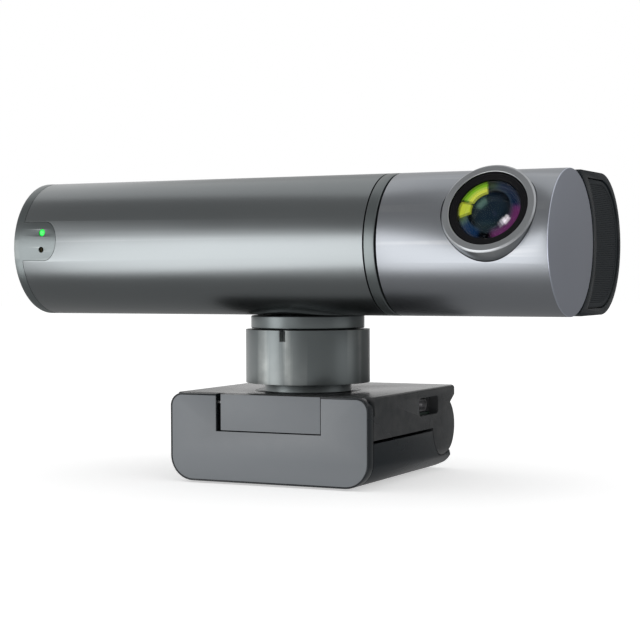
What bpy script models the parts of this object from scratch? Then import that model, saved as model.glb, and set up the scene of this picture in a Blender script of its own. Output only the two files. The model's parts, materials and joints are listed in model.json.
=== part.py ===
"""A small pan and tilt camera on a folding base, built as separate pieces in metres, +Z up.

The origin is on the pan axis, at the underside of the foot. +X runs along the camera body
towards its lens head, and -Y is the side that the lens looks to.
Every named size below is in millimetres; MM turns it into metres.
"""
import bmesh
import bpy
from math import acos, cos, degrees, pi, radians, sin, sqrt
from mathutils import Matrix, Vector

MM = 0.001
GAP = 0.3            # clearance between pieces that touch
OVER = 1.0           # how far a cutter runs past the wall it cuts
JOIN = 0.2           # how far joined shapes sink into each other

# Camera body: a bar with a section of two half circles
BODY_R = 18.0        # radius of both half circles
BODY_SPAN = 25.0     # distance between their centres, front to back
BODY_WALL = 1.6
TILT_Y = -11.0       # the tilt axis is the front half circle's centre
BODY_LEFT = -74.3
BODY_RIGHT = 76.35
ARC_STEPS = 24       # facets on each half circle
CAP_WIDTH = 2.5
SEAM_RIGHT = 32.25   # right face of the bulkhead ring
SEAM_WIDTH = 2.8
SPIGOT_LENGTH = 3.0  # the part of a cap or ring that goes inside its neighbour
SPIGOT_WALL = 1.5
TAB_LENGTH = 10.9    # the cap's tab along the front of the sleeve
TAB_ROUND = 4.0      # length of the tab's curved end
TAB_TOP_DEG = 22.5
TAB_BOTTOM_DEG = -11.0
LED_R = 0.95
LED_DEG = 12.9
LED_FROM_CAP = 6.3
MIC_R = 0.8
MIC_DEG = -1.7
GRILLE_BORDER = 1.7
GRILLE_THICK = 0.8
GRILLE_SINK = 0.3    # how far the grille lies below the end face
END_WALL = 2.5       # end wall of the rear shell, grille seat included

# Lens head: a round barrel that turns about the tilt axis in a pocket of the rear shell
HEAD_GAP = 0.6
HEAD_WALL = 1.6
POCKET_LIP = 7.5     # the pocket's walls end this far behind the tilt axis
POCKET_WALL = 1.6
RIM_WIDTH = 2.4      # end face left between the pocket and the grille
END_DISC = 1.3
DISC_SPIGOT = 1.6
EDGE_CHAMFER = 0.35
HUB_THICK = 2.0
SHAFT_R = 3.0
LENS_X = 61.0
LENS_UP_DEG = 26.5
BEZEL_R = 11.8
BEZEL_BORE = 9.8
BEZEL_RISE = 0.3     # the bezel's face above the barrel's crest
BEZEL_DEPTH = 5.6
TRIM_BORE = 7.9
TRIM_SINK = 0.35     # the trim ring's face below the bezel's
LENS_CURVE = 26.0    # radius of the front lens's dome
BARREL_R = 9.2
BARREL_BORE = 6.6
BARREL_FOOT = 1.2
BOARD_SIDE = 22.0
BOARD_THICK = 1.0

# Column under the body: a fixed collar and a ring that turns with the body
NECK_R = 11.6
NECK_HEIGHT = 2.0
COLLAR_R = 16.55
COLLAR_HEIGHT = 14.1
COLLAR_WALL = 3.0
COLLAR_FLOOR = 2.0
NOTCH_WIDTH = 1.65
NOTCH_X = 0.8
NOTCH_DEPTH = 2.85
RING_R = 15.13
RING_HEIGHT = 3.35
RING_BOSS_R = 9.7
FLANGE_R = 13.9
FLANGE_THICK = 0.6
SPIGOT_R = 8.0
WIRE_BORE = 5.0
MOTOR_R = 9.5
MOTOR_HEIGHT = 9.2
MOTOR_SHAFT_R = 1.5
BEARING_WALL = 3.0
BEARING_HEIGHT = 1.7

# Base: an upper cover and a foot, hinged at the back, with a flap on the front
BASE_LEFT = -29.4
BASE_RIGHT = 27.6
BASE_FRONT = -22.2
BASE_BACK = 35.6
BASE_TOP = 23.2
BASE_WALL = 1.8
BASE_ROOF = 2.4
SLIT_BOTTOM = 11.5
SLIT_TOP = 12.3
FOOT_BOTTOM = 0.5
BARREL_Y = 28.5      # leg hinge axis
BARREL_Z = 12.2
BARREL_OUT_R = 7.9
BARREL_GAP = 0.3
KNUCKLE_LEFT = -19.4
KNUCKLE_RIGHT = 17.4
HINGE_PIN_R = 1.4
FLAP_THICK = 3.0
FLAP_BOTTOM = 0.35
FLAP_TOP_R = 3.4
FLAP_BOTTOM_R = 6.5
BASE_TOP_R = 0.6     # the base's own top edges are nearly sharp
FLAP_AXIS_DROP = 2.2
FLAP_PIN_R = 0.5
FLAP_AXIS_IN = 1.7   # flap axis behind the base's front
FACE_THICK = 0.3     # grey sheet on the flap and on the tongue
FACE_SEAT = 0.6      # how deep the sheet's seat is
FACE_RIM = 0.35      # dark rim left around the flap's sheet
TONGUE_LEFT = -14.4
TONGUE_RIGHT = 14.15
TONGUE_BOTTOM = 13.8
TONGUE_DROP = 0.05   # the tongue's top lies this far under the cover's top
EAR_CLEAR = 0.15     # room between the tongue's sides and the pocket behind the flap's ears
TONGUE_SLOT = 1.45   # open slot at the tongue's left side
FLOOR_THICK = 1.5
BOSS_R = 2.2
SCREW_R = 0.8
SCREW_HEAD_R = 1.8
SCREW_HEAD = 0.6
SCREW_LENGTH = 4.5
PCB_THICK = 1.2
PCB_RISE = 1.4       # board above the floor plate
USB_Y = 17.6
USB_WIDE = 9.0
USB_TALL = 3.2
USB_LONG = 6.2
USB_SINK = 2.5       # the shell's mouth behind the base's side
USB_SHELL = 0.35
RECESS_WIDE = 13.4
RECESS_TALL = 4.9
PAD_THICK = 0.9
WEIGHT_THICK = 6.0
WEIGHT_LOW, WEIGHT_HIGH = (-23.0, -15.0), (21.0, 15.0)         # x and y of the weight and of the grip pad over it
FOOT_PAD_LOW, FOOT_PAD_HIGH = (-22.6, -15.5), (20.8, 27.0)
FLAP_PAD_LOW, FLAP_PAD_HIGH = (-20.0, 2.6), (18.0, 11.6)       # x and z

NECK_TOP = BASE_TOP + NECK_HEIGHT
COLLAR_TOP = NECK_TOP + GAP + COLLAR_HEIGHT
BODY_BOTTOM = COLLAR_TOP + GAP + RING_HEIGHT + GAP
TILT_Z = BODY_BOTTOM + BODY_R    # height of the tilt axis
BEZEL_TOP = BODY_R + BEZEL_RISE  # height of the bezel's face above the tilt axis
BEARING_R = COLLAR_R - COLLAR_WALL - 0.35
BEARING_BORE = BEARING_R - BEARING_WALL
REAR_Y = TILT_Y + BODY_SPAN
FLAP_BACK = BASE_FRONT + FLAP_THICK
FLAP_Y = BASE_FRONT + FLAP_AXIS_IN
FLAP_Z = BASE_TOP - FLAP_AXIS_DROP
SHELL_FRONT = FLAP_BACK + GAP
SEAM_LEFT = SEAM_RIGHT - SEAM_WIDTH
SLEEVE_LEFT = BODY_LEFT + CAP_WIDTH + GAP
SLEEVE_RIGHT = SEAM_LEFT - GAP
HEAD_LEFT = SEAM_RIGHT + HEAD_GAP
INNER_R = BODY_R - BODY_WALL
LENS_UP = radians(LENS_UP_DEG)


def clear_scene():
    for item in list(bpy.data.objects):
        bpy.data.objects.remove(item)


def material(name, colour, roughness, metallic=0.0):
    made = bpy.data.materials.new(name)
    made.use_nodes = True
    shader = made.node_tree.nodes["Principled BSDF"]
    shader.inputs["Base Color"].default_value = (*colour, 1)
    shader.inputs["Roughness"].default_value = roughness
    shader.inputs["Metallic"].default_value = metallic
    return made


def add_object(name, bm, finish=None):
    """Puts the mesh in the scene; a shape with no finish is a helper, which only cuts or joins."""
    bmesh.ops.recalc_face_normals(bm, faces=bm.faces)
    mesh = bpy.data.meshes.new(name)
    bm.to_mesh(mesh)
    bm.free()
    made = bpy.data.objects.new(name, mesh)
    bpy.context.scene.collection.objects.link(made)
    if finish:
        mesh.materials.append(finish)
        mesh.shade_smooth()
        mesh.set_sharp_from_angle(angle=radians(30))
    else:
        made.hide_render = True
        made.display_type = "WIRE"
    return made


def prism(name, outline, axis, start, end, finish=None):
    """An outline pulled along X, Y or Z. Its two numbers are the other two axes, in order."""
    place = {"X": lambda a, b: (start, a, b), "Y": lambda a, b: (a, start, b), "Z": lambda a, b: (a, b, start)}
    bm = bmesh.new()
    corners = [bm.verts.new(Vector(place[axis](a, b)) * MM) for a, b in outline]
    face = bm.faces.new(corners)
    pulled = bmesh.ops.extrude_face_region(bm, geom=[face])["geom"]
    shift = Vector([(end - start) * MM * (axis == letter) for letter in "XYZ"])
    bmesh.ops.translate(bm, verts=[v for v in pulled if isinstance(v, bmesh.types.BMVert)], vec=shift)
    return add_object(name, bm, finish)


def box(name, low, high, finish=None):
    outline = [(low[0], low[1]), (high[0], low[1]), (high[0], high[1]), (low[0], high[1])]
    return prism(name, outline, "Z", low[2], high[2], finish)


def turned(name, profile, axis, centre, finish=None, steps=36):
    """A profile of (radius, height) turned round an axis along X, Y or Z through the centre."""
    bm = bmesh.new()
    points = [bm.verts.new((r * MM, 0, h * MM)) for r, h in profile]
    edges = [bm.edges.new(pair) for pair in zip(points, points[1:])]
    if profile[0][0] > 0:
        edges.append(bm.edges.new((points[-1], points[0])))
    bmesh.ops.spin(bm, geom=points + edges, cent=(0, 0, 0), axis=(0, 0, 1), angle=2 * pi,
                   steps=steps, use_merge=True)
    bmesh.ops.remove_doubles(bm, verts=bm.verts, dist=1e-6)
    turn = {"X": Matrix.Rotation(pi / 2, 4, "Y"), "Y": Matrix.Rotation(-pi / 2, 4, "X"), "Z": Matrix()}
    bmesh.ops.transform(bm, matrix=Matrix.Translation(Vector(centre) * MM) @ turn[axis], verts=bm.verts)
    return add_object(name, bm, finish)


def rod(name, radius, axis, centre, start, end, finish=None, steps=24):
    profile = [(0, start), (radius, start), (radius, end), (0, end)]
    return turned(name, profile, axis, centre, finish, steps)


def ring(name, radius, bore, axis, centre, start, end, finish=None, steps=36):
    profile = [(bore, start), (radius, start), (radius, end), (bore, end)]
    return turned(name, profile, axis, centre, finish, steps)


def arc(centre, radius, start_deg, end_deg, steps):
    turns = [radians(start_deg + (end_deg - start_deg) * i / steps) for i in range(steps + 1)]
    return [(centre[0] + radius * cos(t), centre[1] + radius * sin(t)) for t in turns]


def obround(radius):
    """The body's section in (y, z), with its half circles at the given radius."""
    back = arc((REAR_Y, TILT_Z), radius, -90, 90, ARC_STEPS)
    front = arc((TILT_Y, TILT_Z), radius, 90, 270, ARC_STEPS)
    return back + front


def rounded(low, high, radii, steps=8):
    """A rectangle with its own radius at each corner, from bottom left, anticlockwise."""
    corners = ((low[0], low[1], 1, 1, 180), (high[0], low[1], -1, 1, 270),
               (high[0], high[1], -1, -1, 0), (low[0], high[1], 1, -1, 90))
    points = []
    for (x, y, side, up, turn), r in zip(corners, radii):
        points += arc((x + side * r, y + up * r), r, turn, turn + 90, steps)
    return points


def boolean(target, other, operation="DIFFERENCE"):
    step = target.modifiers.new(operation.title(), "BOOLEAN")
    step.object = other
    step.operation = operation
    step.solver = "EXACT"
    return target


def cut(target, *others):
    for other in others:
        boolean(target, other)
    return target


def join(target, *others):
    for other in others:
        boolean(target, other, "UNION")
    return target


def axis_empty(name, place, parent=None):
    made = bpy.data.objects.new(name, None)
    made.location = Vector(place) * MM
    bpy.context.scene.collection.objects.link(made)
    bpy.context.view_layer.update()
    if parent:
        carry(made, parent)
    return made


def carry(item, empty):
    """Parents a piece to its joint's axis and leaves it where it stands."""
    bpy.context.view_layer.update()
    item.parent = empty
    item.matrix_parent_inverse = empty.matrix_world.inverted()


def on_tube(angle_deg, radius=BODY_R):
    """(y, z) of a point on the front half circle, at this angle above straight ahead."""
    turn = radians(angle_deg)
    return TILT_Y - radius * cos(turn), TILT_Z + radius * sin(turn)


def finishes():
    return {
        "sleeve": material("sleeve_metal", (0.17, 0.18, 0.185), 0.32, 0.9),
        "head": material("head_metal", (0.25, 0.26, 0.28), 0.34, 0.9),
        "trim": material("trim_grey", (0.11, 0.125, 0.12), 0.45, 0.4),
        "grille": material("grille_black", (0.022, 0.026, 0.028), 0.6),
        "base": material("base_plastic", (0.028, 0.031, 0.034), 0.42),
        "flap": material("flap_grey", (0.18, 0.19, 0.2), 0.42, 0.3),
        "rubber": material("black_rubber", (0.015, 0.015, 0.016), 0.8),
        "steel": material("steel", (0.55, 0.56, 0.57), 0.3, 1.0),
        "board": material("green_board", (0.02, 0.11, 0.05), 0.5),
        "black": material("black_plastic", (0.01, 0.01, 0.011), 0.35),
        "glass": material("lens_glass", (0.03, 0.03, 0.05), 0.03),
        "led": material("green_led", (0.02, 0.7, 0.12), 0.3),
        "gold": material("brass", (0.7, 0.5, 0.2), 0.3, 1.0),
    }


# ---------------------------------------------------------------- base

def leg_holes(name, radius, left, right):
    return rod(name, radius, "X", (0, BARREL_Y, BARREL_Z), left, right, steps=32)


def base_section(name, low, high):
    """The whole base seen from the front: its lower long edges are rounded as the flap's, its top edges barely."""
    radii = (FLAP_BOTTOM_R, FLAP_BOTTOM_R, BASE_TOP_R, BASE_TOP_R)
    return prism(name, rounded((BASE_LEFT, FLAP_BOTTOM), (BASE_RIGHT, BASE_TOP), radii, 10), "Y", low, high)


def base_cover(use):
    """Upper half of the base, open underneath, with the hinge's two outer knuckles."""
    step_z = BARREL_Z + BARREL_OUT_R - 1.7
    step_y = BARREL_Y + sqrt(BARREL_OUT_R ** 2 - (step_z - BARREL_Z) ** 2) - 0.4
    side = [(SHELL_FRONT, SLIT_TOP), (BARREL_Y, SLIT_TOP), (BARREL_Y, step_z), (step_y, step_z),
            (BASE_BACK, BASE_TOP - 2.7), (BASE_BACK, BASE_TOP - 0.8), (BASE_BACK - 0.8 - OVER, BASE_TOP + OVER),
            (SHELL_FRONT, BASE_TOP + OVER)]
    cover = prism("base_cover", side, "X", BASE_LEFT - OVER, BASE_RIGHT + OVER, use["base"])
    for edge, left, right in (("left", BASE_LEFT - OVER, KNUCKLE_LEFT - GAP), ("right", KNUCKLE_RIGHT + GAP, BASE_RIGHT + OVER)):
        join(cover, leg_holes("cover_knuckle_" + edge, BARREL_OUT_R, left, right))
    boolean(cover, base_section("cover_section", BASE_FRONT - OVER, BASE_BACK + OVER), "INTERSECT")
    cut(cover, leg_holes("leg_knuckle_room", BARREL_OUT_R + BARREL_GAP, KNUCKLE_LEFT - GAP, KNUCKLE_RIGHT + GAP))
    tongue_top = BASE_TOP - TONGUE_DROP
    tongue = box("tongue_block", (TONGUE_LEFT, BASE_FRONT + FACE_SEAT, TONGUE_BOTTOM),
                 (TONGUE_RIGHT, SHELL_FRONT + JOIN, tongue_top))
    join(cover, tongue)
    ear_room = SHELL_FRONT + 0.75
    ears = (("left", BASE_LEFT - OVER, TONGUE_LEFT - EAR_CLEAR), ("right", TONGUE_RIGHT + EAR_CLEAR, BASE_RIGHT + OVER))
    for side_name, left, right in ears:
        room = box("ear_room_" + side_name, (left, SHELL_FRONT - OVER, FLAP_Z - 2.5), (right, ear_room, BASE_TOP + OVER))
        cut(cover, room)
    back = BARREL_Y - BARREL_OUT_R - BARREL_GAP - BASE_WALL
    cavity = box("cover_cavity", (BASE_LEFT + BASE_WALL, SHELL_FRONT + BASE_WALL, SLIT_TOP - OVER),
                 (BASE_RIGHT - BASE_WALL, back, BASE_TOP - BASE_ROOF))
    cut(cover, cavity)
    cut(cover, usb_room())
    for place in boss_places():
        boss = rod("cover_boss", BOSS_R, "Z", (*place, 0), SLIT_TOP + 0.2 + FLOOR_THICK + GAP, BASE_TOP - BASE_ROOF + JOIN)
        join(cover, boss)
        hole = rod("boss_hole", SCREW_R + GAP, "Z", (*place, 0), SLIT_TOP, BASE_TOP - BASE_ROOF - 1.2, steps=16)
        cut(cover, hole)
    cut(cover, rod("neck_seat", FLANGE_R + GAP, "Z", (0, 0, 0), BASE_TOP - FLANGE_THICK - GAP, BASE_TOP + OVER, steps=48))
    cut(cover, rod("neck_hole", SPIGOT_R + GAP, "Z", (0, 0, 0), BASE_TOP - BASE_ROOF - OVER, BASE_TOP))
    middle = usb_z()
    recess = rounded((USB_Y - RECESS_WIDE / 2, middle - RECESS_TALL / 2), (USB_Y + RECESS_WIDE / 2, middle + RECESS_TALL / 2),
                     (1.2,) * 4, 5)
    cut(cover, prism("usb_recess", recess, "X", BASE_RIGHT - BASE_WALL - OVER, BASE_RIGHT + OVER))
    cut(cover, leg_holes("pin_hole", HINGE_PIN_R + GAP, BASE_LEFT + 1.5, BASE_RIGHT - 1.5))
    pin_hole = rod("flap_pin_hole", FLAP_PIN_R + GAP, "X", (0, FLAP_Y, FLAP_Z), TONGUE_LEFT - OVER, TONGUE_RIGHT + OVER, steps=16)
    cut(cover, pin_hole)
    box("tongue_face", (TONGUE_LEFT, BASE_FRONT, TONGUE_BOTTOM), (TONGUE_RIGHT, BASE_FRONT + FACE_THICK, tongue_top), use["flap"])
    return cover


def boss_places():
    inset = BASE_WALL + BOSS_R + 1.0
    left, right = BASE_LEFT + inset, BASE_RIGHT - inset
    front = SHELL_FRONT + inset
    back = BARREL_Y - BARREL_OUT_R - BARREL_GAP - inset
    return ((left, front), (right, front), (left, back), (right - 10.5, back))


def board_bottom():
    return SLIT_TOP + 0.2 + FLOOR_THICK + PCB_RISE


def usb_z():
    return board_bottom() + PCB_THICK + GAP + USB_TALL / 2


def usb_room():
    """Pocket in the right knuckle for the socket and the end of its board."""
    return box("usb_pocket", (KNUCKLE_RIGHT + 1.2, USB_Y - USB_WIDE / 2 - 1.2, board_bottom() - GAP),
               (BASE_RIGHT - BASE_WALL + 0.2, USB_Y + USB_WIDE / 2 + 0.8, usb_z() + USB_TALL / 2 + 0.5))


def base_floor(use):
    back = BARREL_Y - BARREL_OUT_R - BARREL_GAP - BASE_WALL
    low = (BASE_LEFT + BASE_WALL + GAP, SHELL_FRONT + BASE_WALL + GAP, SLIT_TOP + 0.2)
    high = (BASE_RIGHT - BASE_WALL - GAP, back - GAP, SLIT_TOP + 0.2 + FLOOR_THICK)
    plate = box("base_floor", low, high, use["black"])
    for x, y in ((-17.0, -5.5), (-17.0, 8.0), (8.0, -5.5)):
        join(plate, rod("board_post", 1.8, "Z", (x, y, 0), high[2] - JOIN, board_bottom() - GAP, steps=20))
    for place in boss_places():
        cut(plate, rod("screw_hole", SCREW_R + GAP, "Z", (*place, 0), low[2] - OVER, high[2] + OVER, steps=16))
        cut(plate, rod("head_hole", SCREW_HEAD_R + GAP, "Z", (*place, 0), low[2] - OVER, low[2] + SCREW_HEAD + GAP, steps=24))
    return plate


def base_screws(use):
    start = SLIT_TOP + 0.2
    profile = [(0, start), (SCREW_HEAD_R, start), (SCREW_HEAD_R, start + SCREW_HEAD), (SCREW_R, start + SCREW_HEAD),
               (SCREW_R, start + SCREW_LENGTH), (0, start + SCREW_LENGTH)]
    for number, place in enumerate(boss_places(), 1):
        turned(f"base_screw_{number}", profile, "Z", (*place, 0), use["steel"], 16)


def control_board(use):
    bottom = board_bottom()
    right = BASE_RIGHT - BASE_WALL - 0.1
    arm_back = USB_Y + USB_WIDE / 2 + 0.5
    back = BARREL_Y - BARREL_OUT_R - BARREL_GAP - BASE_WALL - 0.5
    arm_left = KNUCKLE_RIGHT + 1.5
    outline = [(-19.5, -8), (right, -8), (right, arm_back), (arm_left, arm_back), (arm_left, back), (16.2, back),
               (16.2, 10.5), (-19.5, 10.5)]
    board = prism("base_board", outline, "Z", bottom, bottom + PCB_THICK, use["board"])
    chip = box("motor_driver", (-12, -4, bottom + PCB_THICK - JOIN), (-4, 4, bottom + PCB_THICK + 0.9))
    return join(board, chip)


def usb_socket(use):
    """Socket shell with its centre tongue, open at the mouth."""
    mouth = BASE_RIGHT - USB_SINK
    low = (USB_Y - USB_WIDE / 2, usb_z() - USB_TALL / 2)
    high = (USB_Y + USB_WIDE / 2, usb_z() + USB_TALL / 2)
    shell = prism("usb_socket", rounded(low, high, (1.45,) * 4, 6), "X", mouth - USB_LONG, mouth, use["steel"])
    inner_low = (low[0] + USB_SHELL, low[1] + USB_SHELL)
    inner_high = (high[0] - USB_SHELL, high[1] - USB_SHELL)
    cut(shell, prism("usb_mouth", rounded(inner_low, inner_high, (1.15,) * 4, 6), "X", mouth - USB_LONG + 1.2, mouth + OVER))
    tongue = box("usb_tongue", (mouth - USB_LONG + 1.0, USB_Y - 3.3, usb_z() - 0.35), (mouth - 0.8, USB_Y + 3.3, usb_z() + 0.35))
    return join(shell, tongue)


def hinge_pins(use):
    rod("leg_pin", HINGE_PIN_R, "X", (0, BARREL_Y, BARREL_Z), BASE_LEFT + 1.8, BASE_RIGHT - 1.8, use["steel"], 24)
    rod("flap_pin", FLAP_PIN_R, "X", (0, FLAP_Y, FLAP_Z), BASE_LEFT + 1.9, BASE_RIGHT - 1.9, use["steel"], 16)


def leg(use, empty):
    """The folding foot: the lower half of the base, with the hinge's middle knuckle."""
    side = [(SHELL_FRONT, FOOT_BOTTOM), (31.0, FOOT_BOTTOM), (BASE_BACK - 0.9, 1.6), (BASE_BACK - 0.9, 3.6), (32.9, 5.3),
            (BARREL_Y, 5.3), (BARREL_Y, SLIT_BOTTOM), (SHELL_FRONT, SLIT_BOTTOM)]
    shell = prism("leg_shell", side, "X", BASE_LEFT - OVER, BASE_RIGHT + OVER, use["base"])
    boolean(shell, base_section("leg_section", BASE_FRONT - OVER, BASE_BACK + OVER), "INTERSECT")
    join(shell, leg_holes("leg_knuckle", BARREL_OUT_R, KNUCKLE_LEFT, KNUCKLE_RIGHT))
    for edge, left, right in (("left", BASE_LEFT - OVER, KNUCKLE_LEFT), ("right", KNUCKLE_RIGHT, BASE_RIGHT + OVER)):
        cut(shell, leg_holes("cover_room_" + edge, BARREL_OUT_R + BARREL_GAP, left, right))
    cut(shell, leg_holes("leg_pin_hole", HINGE_PIN_R + GAP, KNUCKLE_LEFT - OVER, KNUCKLE_RIGHT + OVER))
    low, high = WEIGHT_LOW, WEIGHT_HIGH
    floor_z = SLIT_BOTTOM - PAD_THICK - 0.2 - GAP - WEIGHT_THICK - GAP
    cut(shell, box("weight_room", (low[0] - GAP, low[1] - GAP, floor_z), (high[0] + GAP, high[1] + GAP, SLIT_BOTTOM + OVER)))
    weight = box("leg_weight", (*low, floor_z + GAP), (*high, floor_z + GAP + WEIGHT_THICK), use["steel"])
    grip_bottom = floor_z + 2 * GAP + WEIGHT_THICK
    grip = prism("leg_grip_pad", rounded(low, high, (1.5,) * 4, 4), "Z", grip_bottom, grip_bottom + PAD_THICK, use["rubber"])
    foot_low, foot_high = FOOT_PAD_LOW, FOOT_PAD_HIGH
    seat = rounded((foot_low[0] - GAP, foot_low[1] - GAP), (foot_high[0] + GAP, foot_high[1] + GAP), (2.3,) * 4, 4)
    cut(shell, prism("foot_seat", seat, "Z", FOOT_BOTTOM - OVER, PAD_THICK + GAP))
    pad = prism("foot_pad", rounded(foot_low, foot_high, (2.0,) * 4, 4), "Z", 0, PAD_THICK, use["rubber"])
    for item in (shell, weight, grip, pad):
        carry(item, empty)


def flap_front(name, inset, start, end, finish=None):
    """The flap's shape seen from the front, this far inside its outer edge: a plate with a gap for the tongue."""
    radii = [r - inset for r in (FLAP_BOTTOM_R, FLAP_BOTTOM_R, FLAP_TOP_R, FLAP_TOP_R)]
    low, high = (BASE_LEFT + inset, FLAP_BOTTOM + inset), (BASE_RIGHT - inset, BASE_TOP - inset)
    shape = prism(name, rounded(low, high, radii, 10), "Y", start, end, finish)
    gap_low = (TONGUE_LEFT - TONGUE_SLOT, start - OVER, TONGUE_BOTTOM - GAP)
    gap_high = (TONGUE_RIGHT + GAP, end + OVER, BASE_TOP + OVER)
    return cut(shape, box(name + "_gap", gap_low, gap_high))


def flap(use, empty):
    """Front flap: a plate round three sides of the fixed tongue, on a pin near its top edge, with a grey sheet."""
    plate = flap_front("front_flap", 0, BASE_FRONT, FLAP_BACK, use["base"])
    cut(plate, flap_front("face_seat", FACE_RIM, BASE_FRONT - OVER, BASE_FRONT + FACE_SEAT))
    face = flap_front("flap_face", FACE_RIM + GAP, BASE_FRONT, BASE_FRONT + FACE_THICK, use["flap"])
    start = degrees(acos((FLAP_BACK - FLAP_Y) / FLAP_AXIS_DROP))
    curve = arc((FLAP_Y, FLAP_Z), FLAP_AXIS_DROP, start, 90, 8)
    rear = FLAP_BACK + OVER
    corner = curve + [(FLAP_Y, BASE_TOP + OVER), (rear, BASE_TOP + OVER), (rear, curve[0][1])]
    cut(plate, prism("ear_rounding", corner, "X", BASE_LEFT - OVER, BASE_RIGHT + OVER))
    cut(plate, rod("ear_pin_hole", FLAP_PIN_R + GAP, "X", (0, FLAP_Y, FLAP_Z), BASE_LEFT + 1.6, BASE_RIGHT - 1.6, steps=16))
    low, high = FLAP_PAD_LOW, FLAP_PAD_HIGH
    seat = rounded((low[0] - GAP, low[1] - GAP), (high[0] + GAP, high[1] + GAP), (1.3,) * 4, 4)
    cut(plate, prism("flap_pad_seat", seat, "Y", FLAP_BACK - 0.8, FLAP_BACK + OVER))
    pad = prism("flap_pad", rounded(low, high, (1.0,) * 4, 4), "Y", FLAP_BACK - 0.5, FLAP_BACK, use["rubber"])
    for item in (plate, face, pad):
        carry(item, empty)


# ---------------------------------------------------------------- column

def column(use):
    """What stands still on the base: flange and neck, collar, motor and lower bearing."""
    roof = BASE_TOP - BASE_ROOF
    flange_z = BASE_TOP - FLANGE_THICK
    neck = [(WIRE_BORE, roof - 2.4), (SPIGOT_R, roof - 2.4), (SPIGOT_R, flange_z), (FLANGE_R, flange_z), (FLANGE_R, BASE_TOP),
            (NECK_R, BASE_TOP), (NECK_R, NECK_TOP), (WIRE_BORE, NECK_TOP)]
    turned("neck", neck, "Z", (0, 0, 0), use["trim"])
    ring("neck_nut", SPIGOT_R + 3.0, SPIGOT_R + GAP, "Z", (0, 0, 0), roof - 2.1, roof - GAP, use["steel"], 6 * 4)
    floor_z = NECK_TOP + GAP
    inner = COLLAR_R - COLLAR_WALL
    ledge = COLLAR_TOP - GAP - 0.7 - BEARING_HEIGHT - GAP
    lower = inner - 1.35
    cup = [(WIRE_BORE, floor_z), (COLLAR_R - 0.5, floor_z), (COLLAR_R, floor_z + 0.5), (COLLAR_R, COLLAR_TOP - 0.4),
           (COLLAR_R - 0.4, COLLAR_TOP), (inner, COLLAR_TOP), (inner, ledge), (lower, ledge), (lower, floor_z + COLLAR_FLOOR),
           (WIRE_BORE, floor_z + COLLAR_FLOOR)]
    collar = turned("pan_collar", cup, "Z", (0, 0, 0), use["trim"], 48)
    notch = box("stop_notch", (NOTCH_X - NOTCH_WIDTH / 2, -COLLAR_R - OVER, COLLAR_TOP - NOTCH_DEPTH),
                (NOTCH_X + NOTCH_WIDTH / 2, -inner + 1.0, COLLAR_TOP + OVER))
    cut(collar, notch)
    ring("pan_bearing", BEARING_R, BEARING_BORE, "Z", (0, 0, 0), ledge + GAP, ledge + GAP + BEARING_HEIGHT, use["steel"])
    motor_z = floor_z + COLLAR_FLOOR + GAP
    rod("pan_motor", MOTOR_R, "Z", (0, 0, 0), motor_z, motor_z + MOTOR_HEIGHT, use["steel"])
    return motor_z + MOTOR_HEIGHT


def pan_drive(use, empty, motor_top):
    """What turns under the body: shaft, ring with its boss, and the plate inside the sleeve."""
    ring_z = COLLAR_TOP + GAP
    spigot_z = COLLAR_TOP - 1.0 + GAP - 0.3
    bore = MOTOR_SHAFT_R + GAP
    top = BODY_BOTTOM - GAP
    boss_top = BODY_BOTTOM + BODY_WALL + 0.1
    profile = [(bore, spigot_z), (BEARING_R - 0.4, spigot_z), (BEARING_R - 0.4, ring_z), (RING_R, ring_z), (RING_R, top),
               (RING_BOSS_R, top), (RING_BOSS_R, boss_top), (bore, boss_top)]
    turning = turned("pan_ring", profile, "Z", (0, 0, 0), use["trim"], 48)
    shaft = rod("pan_shaft", MOTOR_SHAFT_R, "Z", (0, 0, 0), motor_top + GAP, boss_top - GAP, use["steel"], 20)
    plate_z = boss_top + GAP
    plate = box("pan_plate", (-15, -14.5, plate_z), (15, 14, plate_z + 1.6), use["steel"])
    room = obround(INNER_R - GAP)
    boolean(plate, prism("plate_room", room, "X", -20, 20), "INTERSECT")
    items = [turning, shaft, plate]
    for number, x in enumerate((-6.5, 6.5), 1):
        cut(plate, rod("plate_hole", SCREW_R + GAP, "Z", (x, 0, 0), plate_z - OVER, plate_z + 1.6 + OVER, steps=16))
        cut(turning, rod("ring_hole", SCREW_R + GAP, "Z", (x, 0, 0), boss_top - 3.2, boss_top + OVER, steps=16))
        head_z = plate_z + 1.6 + GAP
        profile = [(0, boss_top - 2.8), (SCREW_R, boss_top - 2.8), (SCREW_R, head_z), (SCREW_HEAD_R, head_z),
                   (SCREW_HEAD_R, head_z + 1.0), (0, head_z + 1.0)]
        items.append(turned(f"pan_screw_{number}", profile, "Z", (x, 0, 0), use["steel"], 16))
    for item in items:
        carry(item, empty)


# ---------------------------------------------------------------- body

def tab_outline(margin):
    """(x, z) outline of the cap's tab: straight at the cap, half an ellipse at its free end."""
    high = on_tube(TAB_TOP_DEG)[1] + margin
    low = on_tube(TAB_BOTTOM_DEG)[1] - margin
    half = (high - low) / 2
    start = BODY_LEFT + CAP_WIDTH - 0.5
    tip = BODY_LEFT + CAP_WIDTH + TAB_LENGTH + margin
    reach = TAB_ROUND + margin
    end = [(tip - reach + reach * a, low + half + half * b) for a, b in arc((0, 0), 1, -90, 90, 16)]
    return [(start, low)] + end + [(start, high)]


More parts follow.
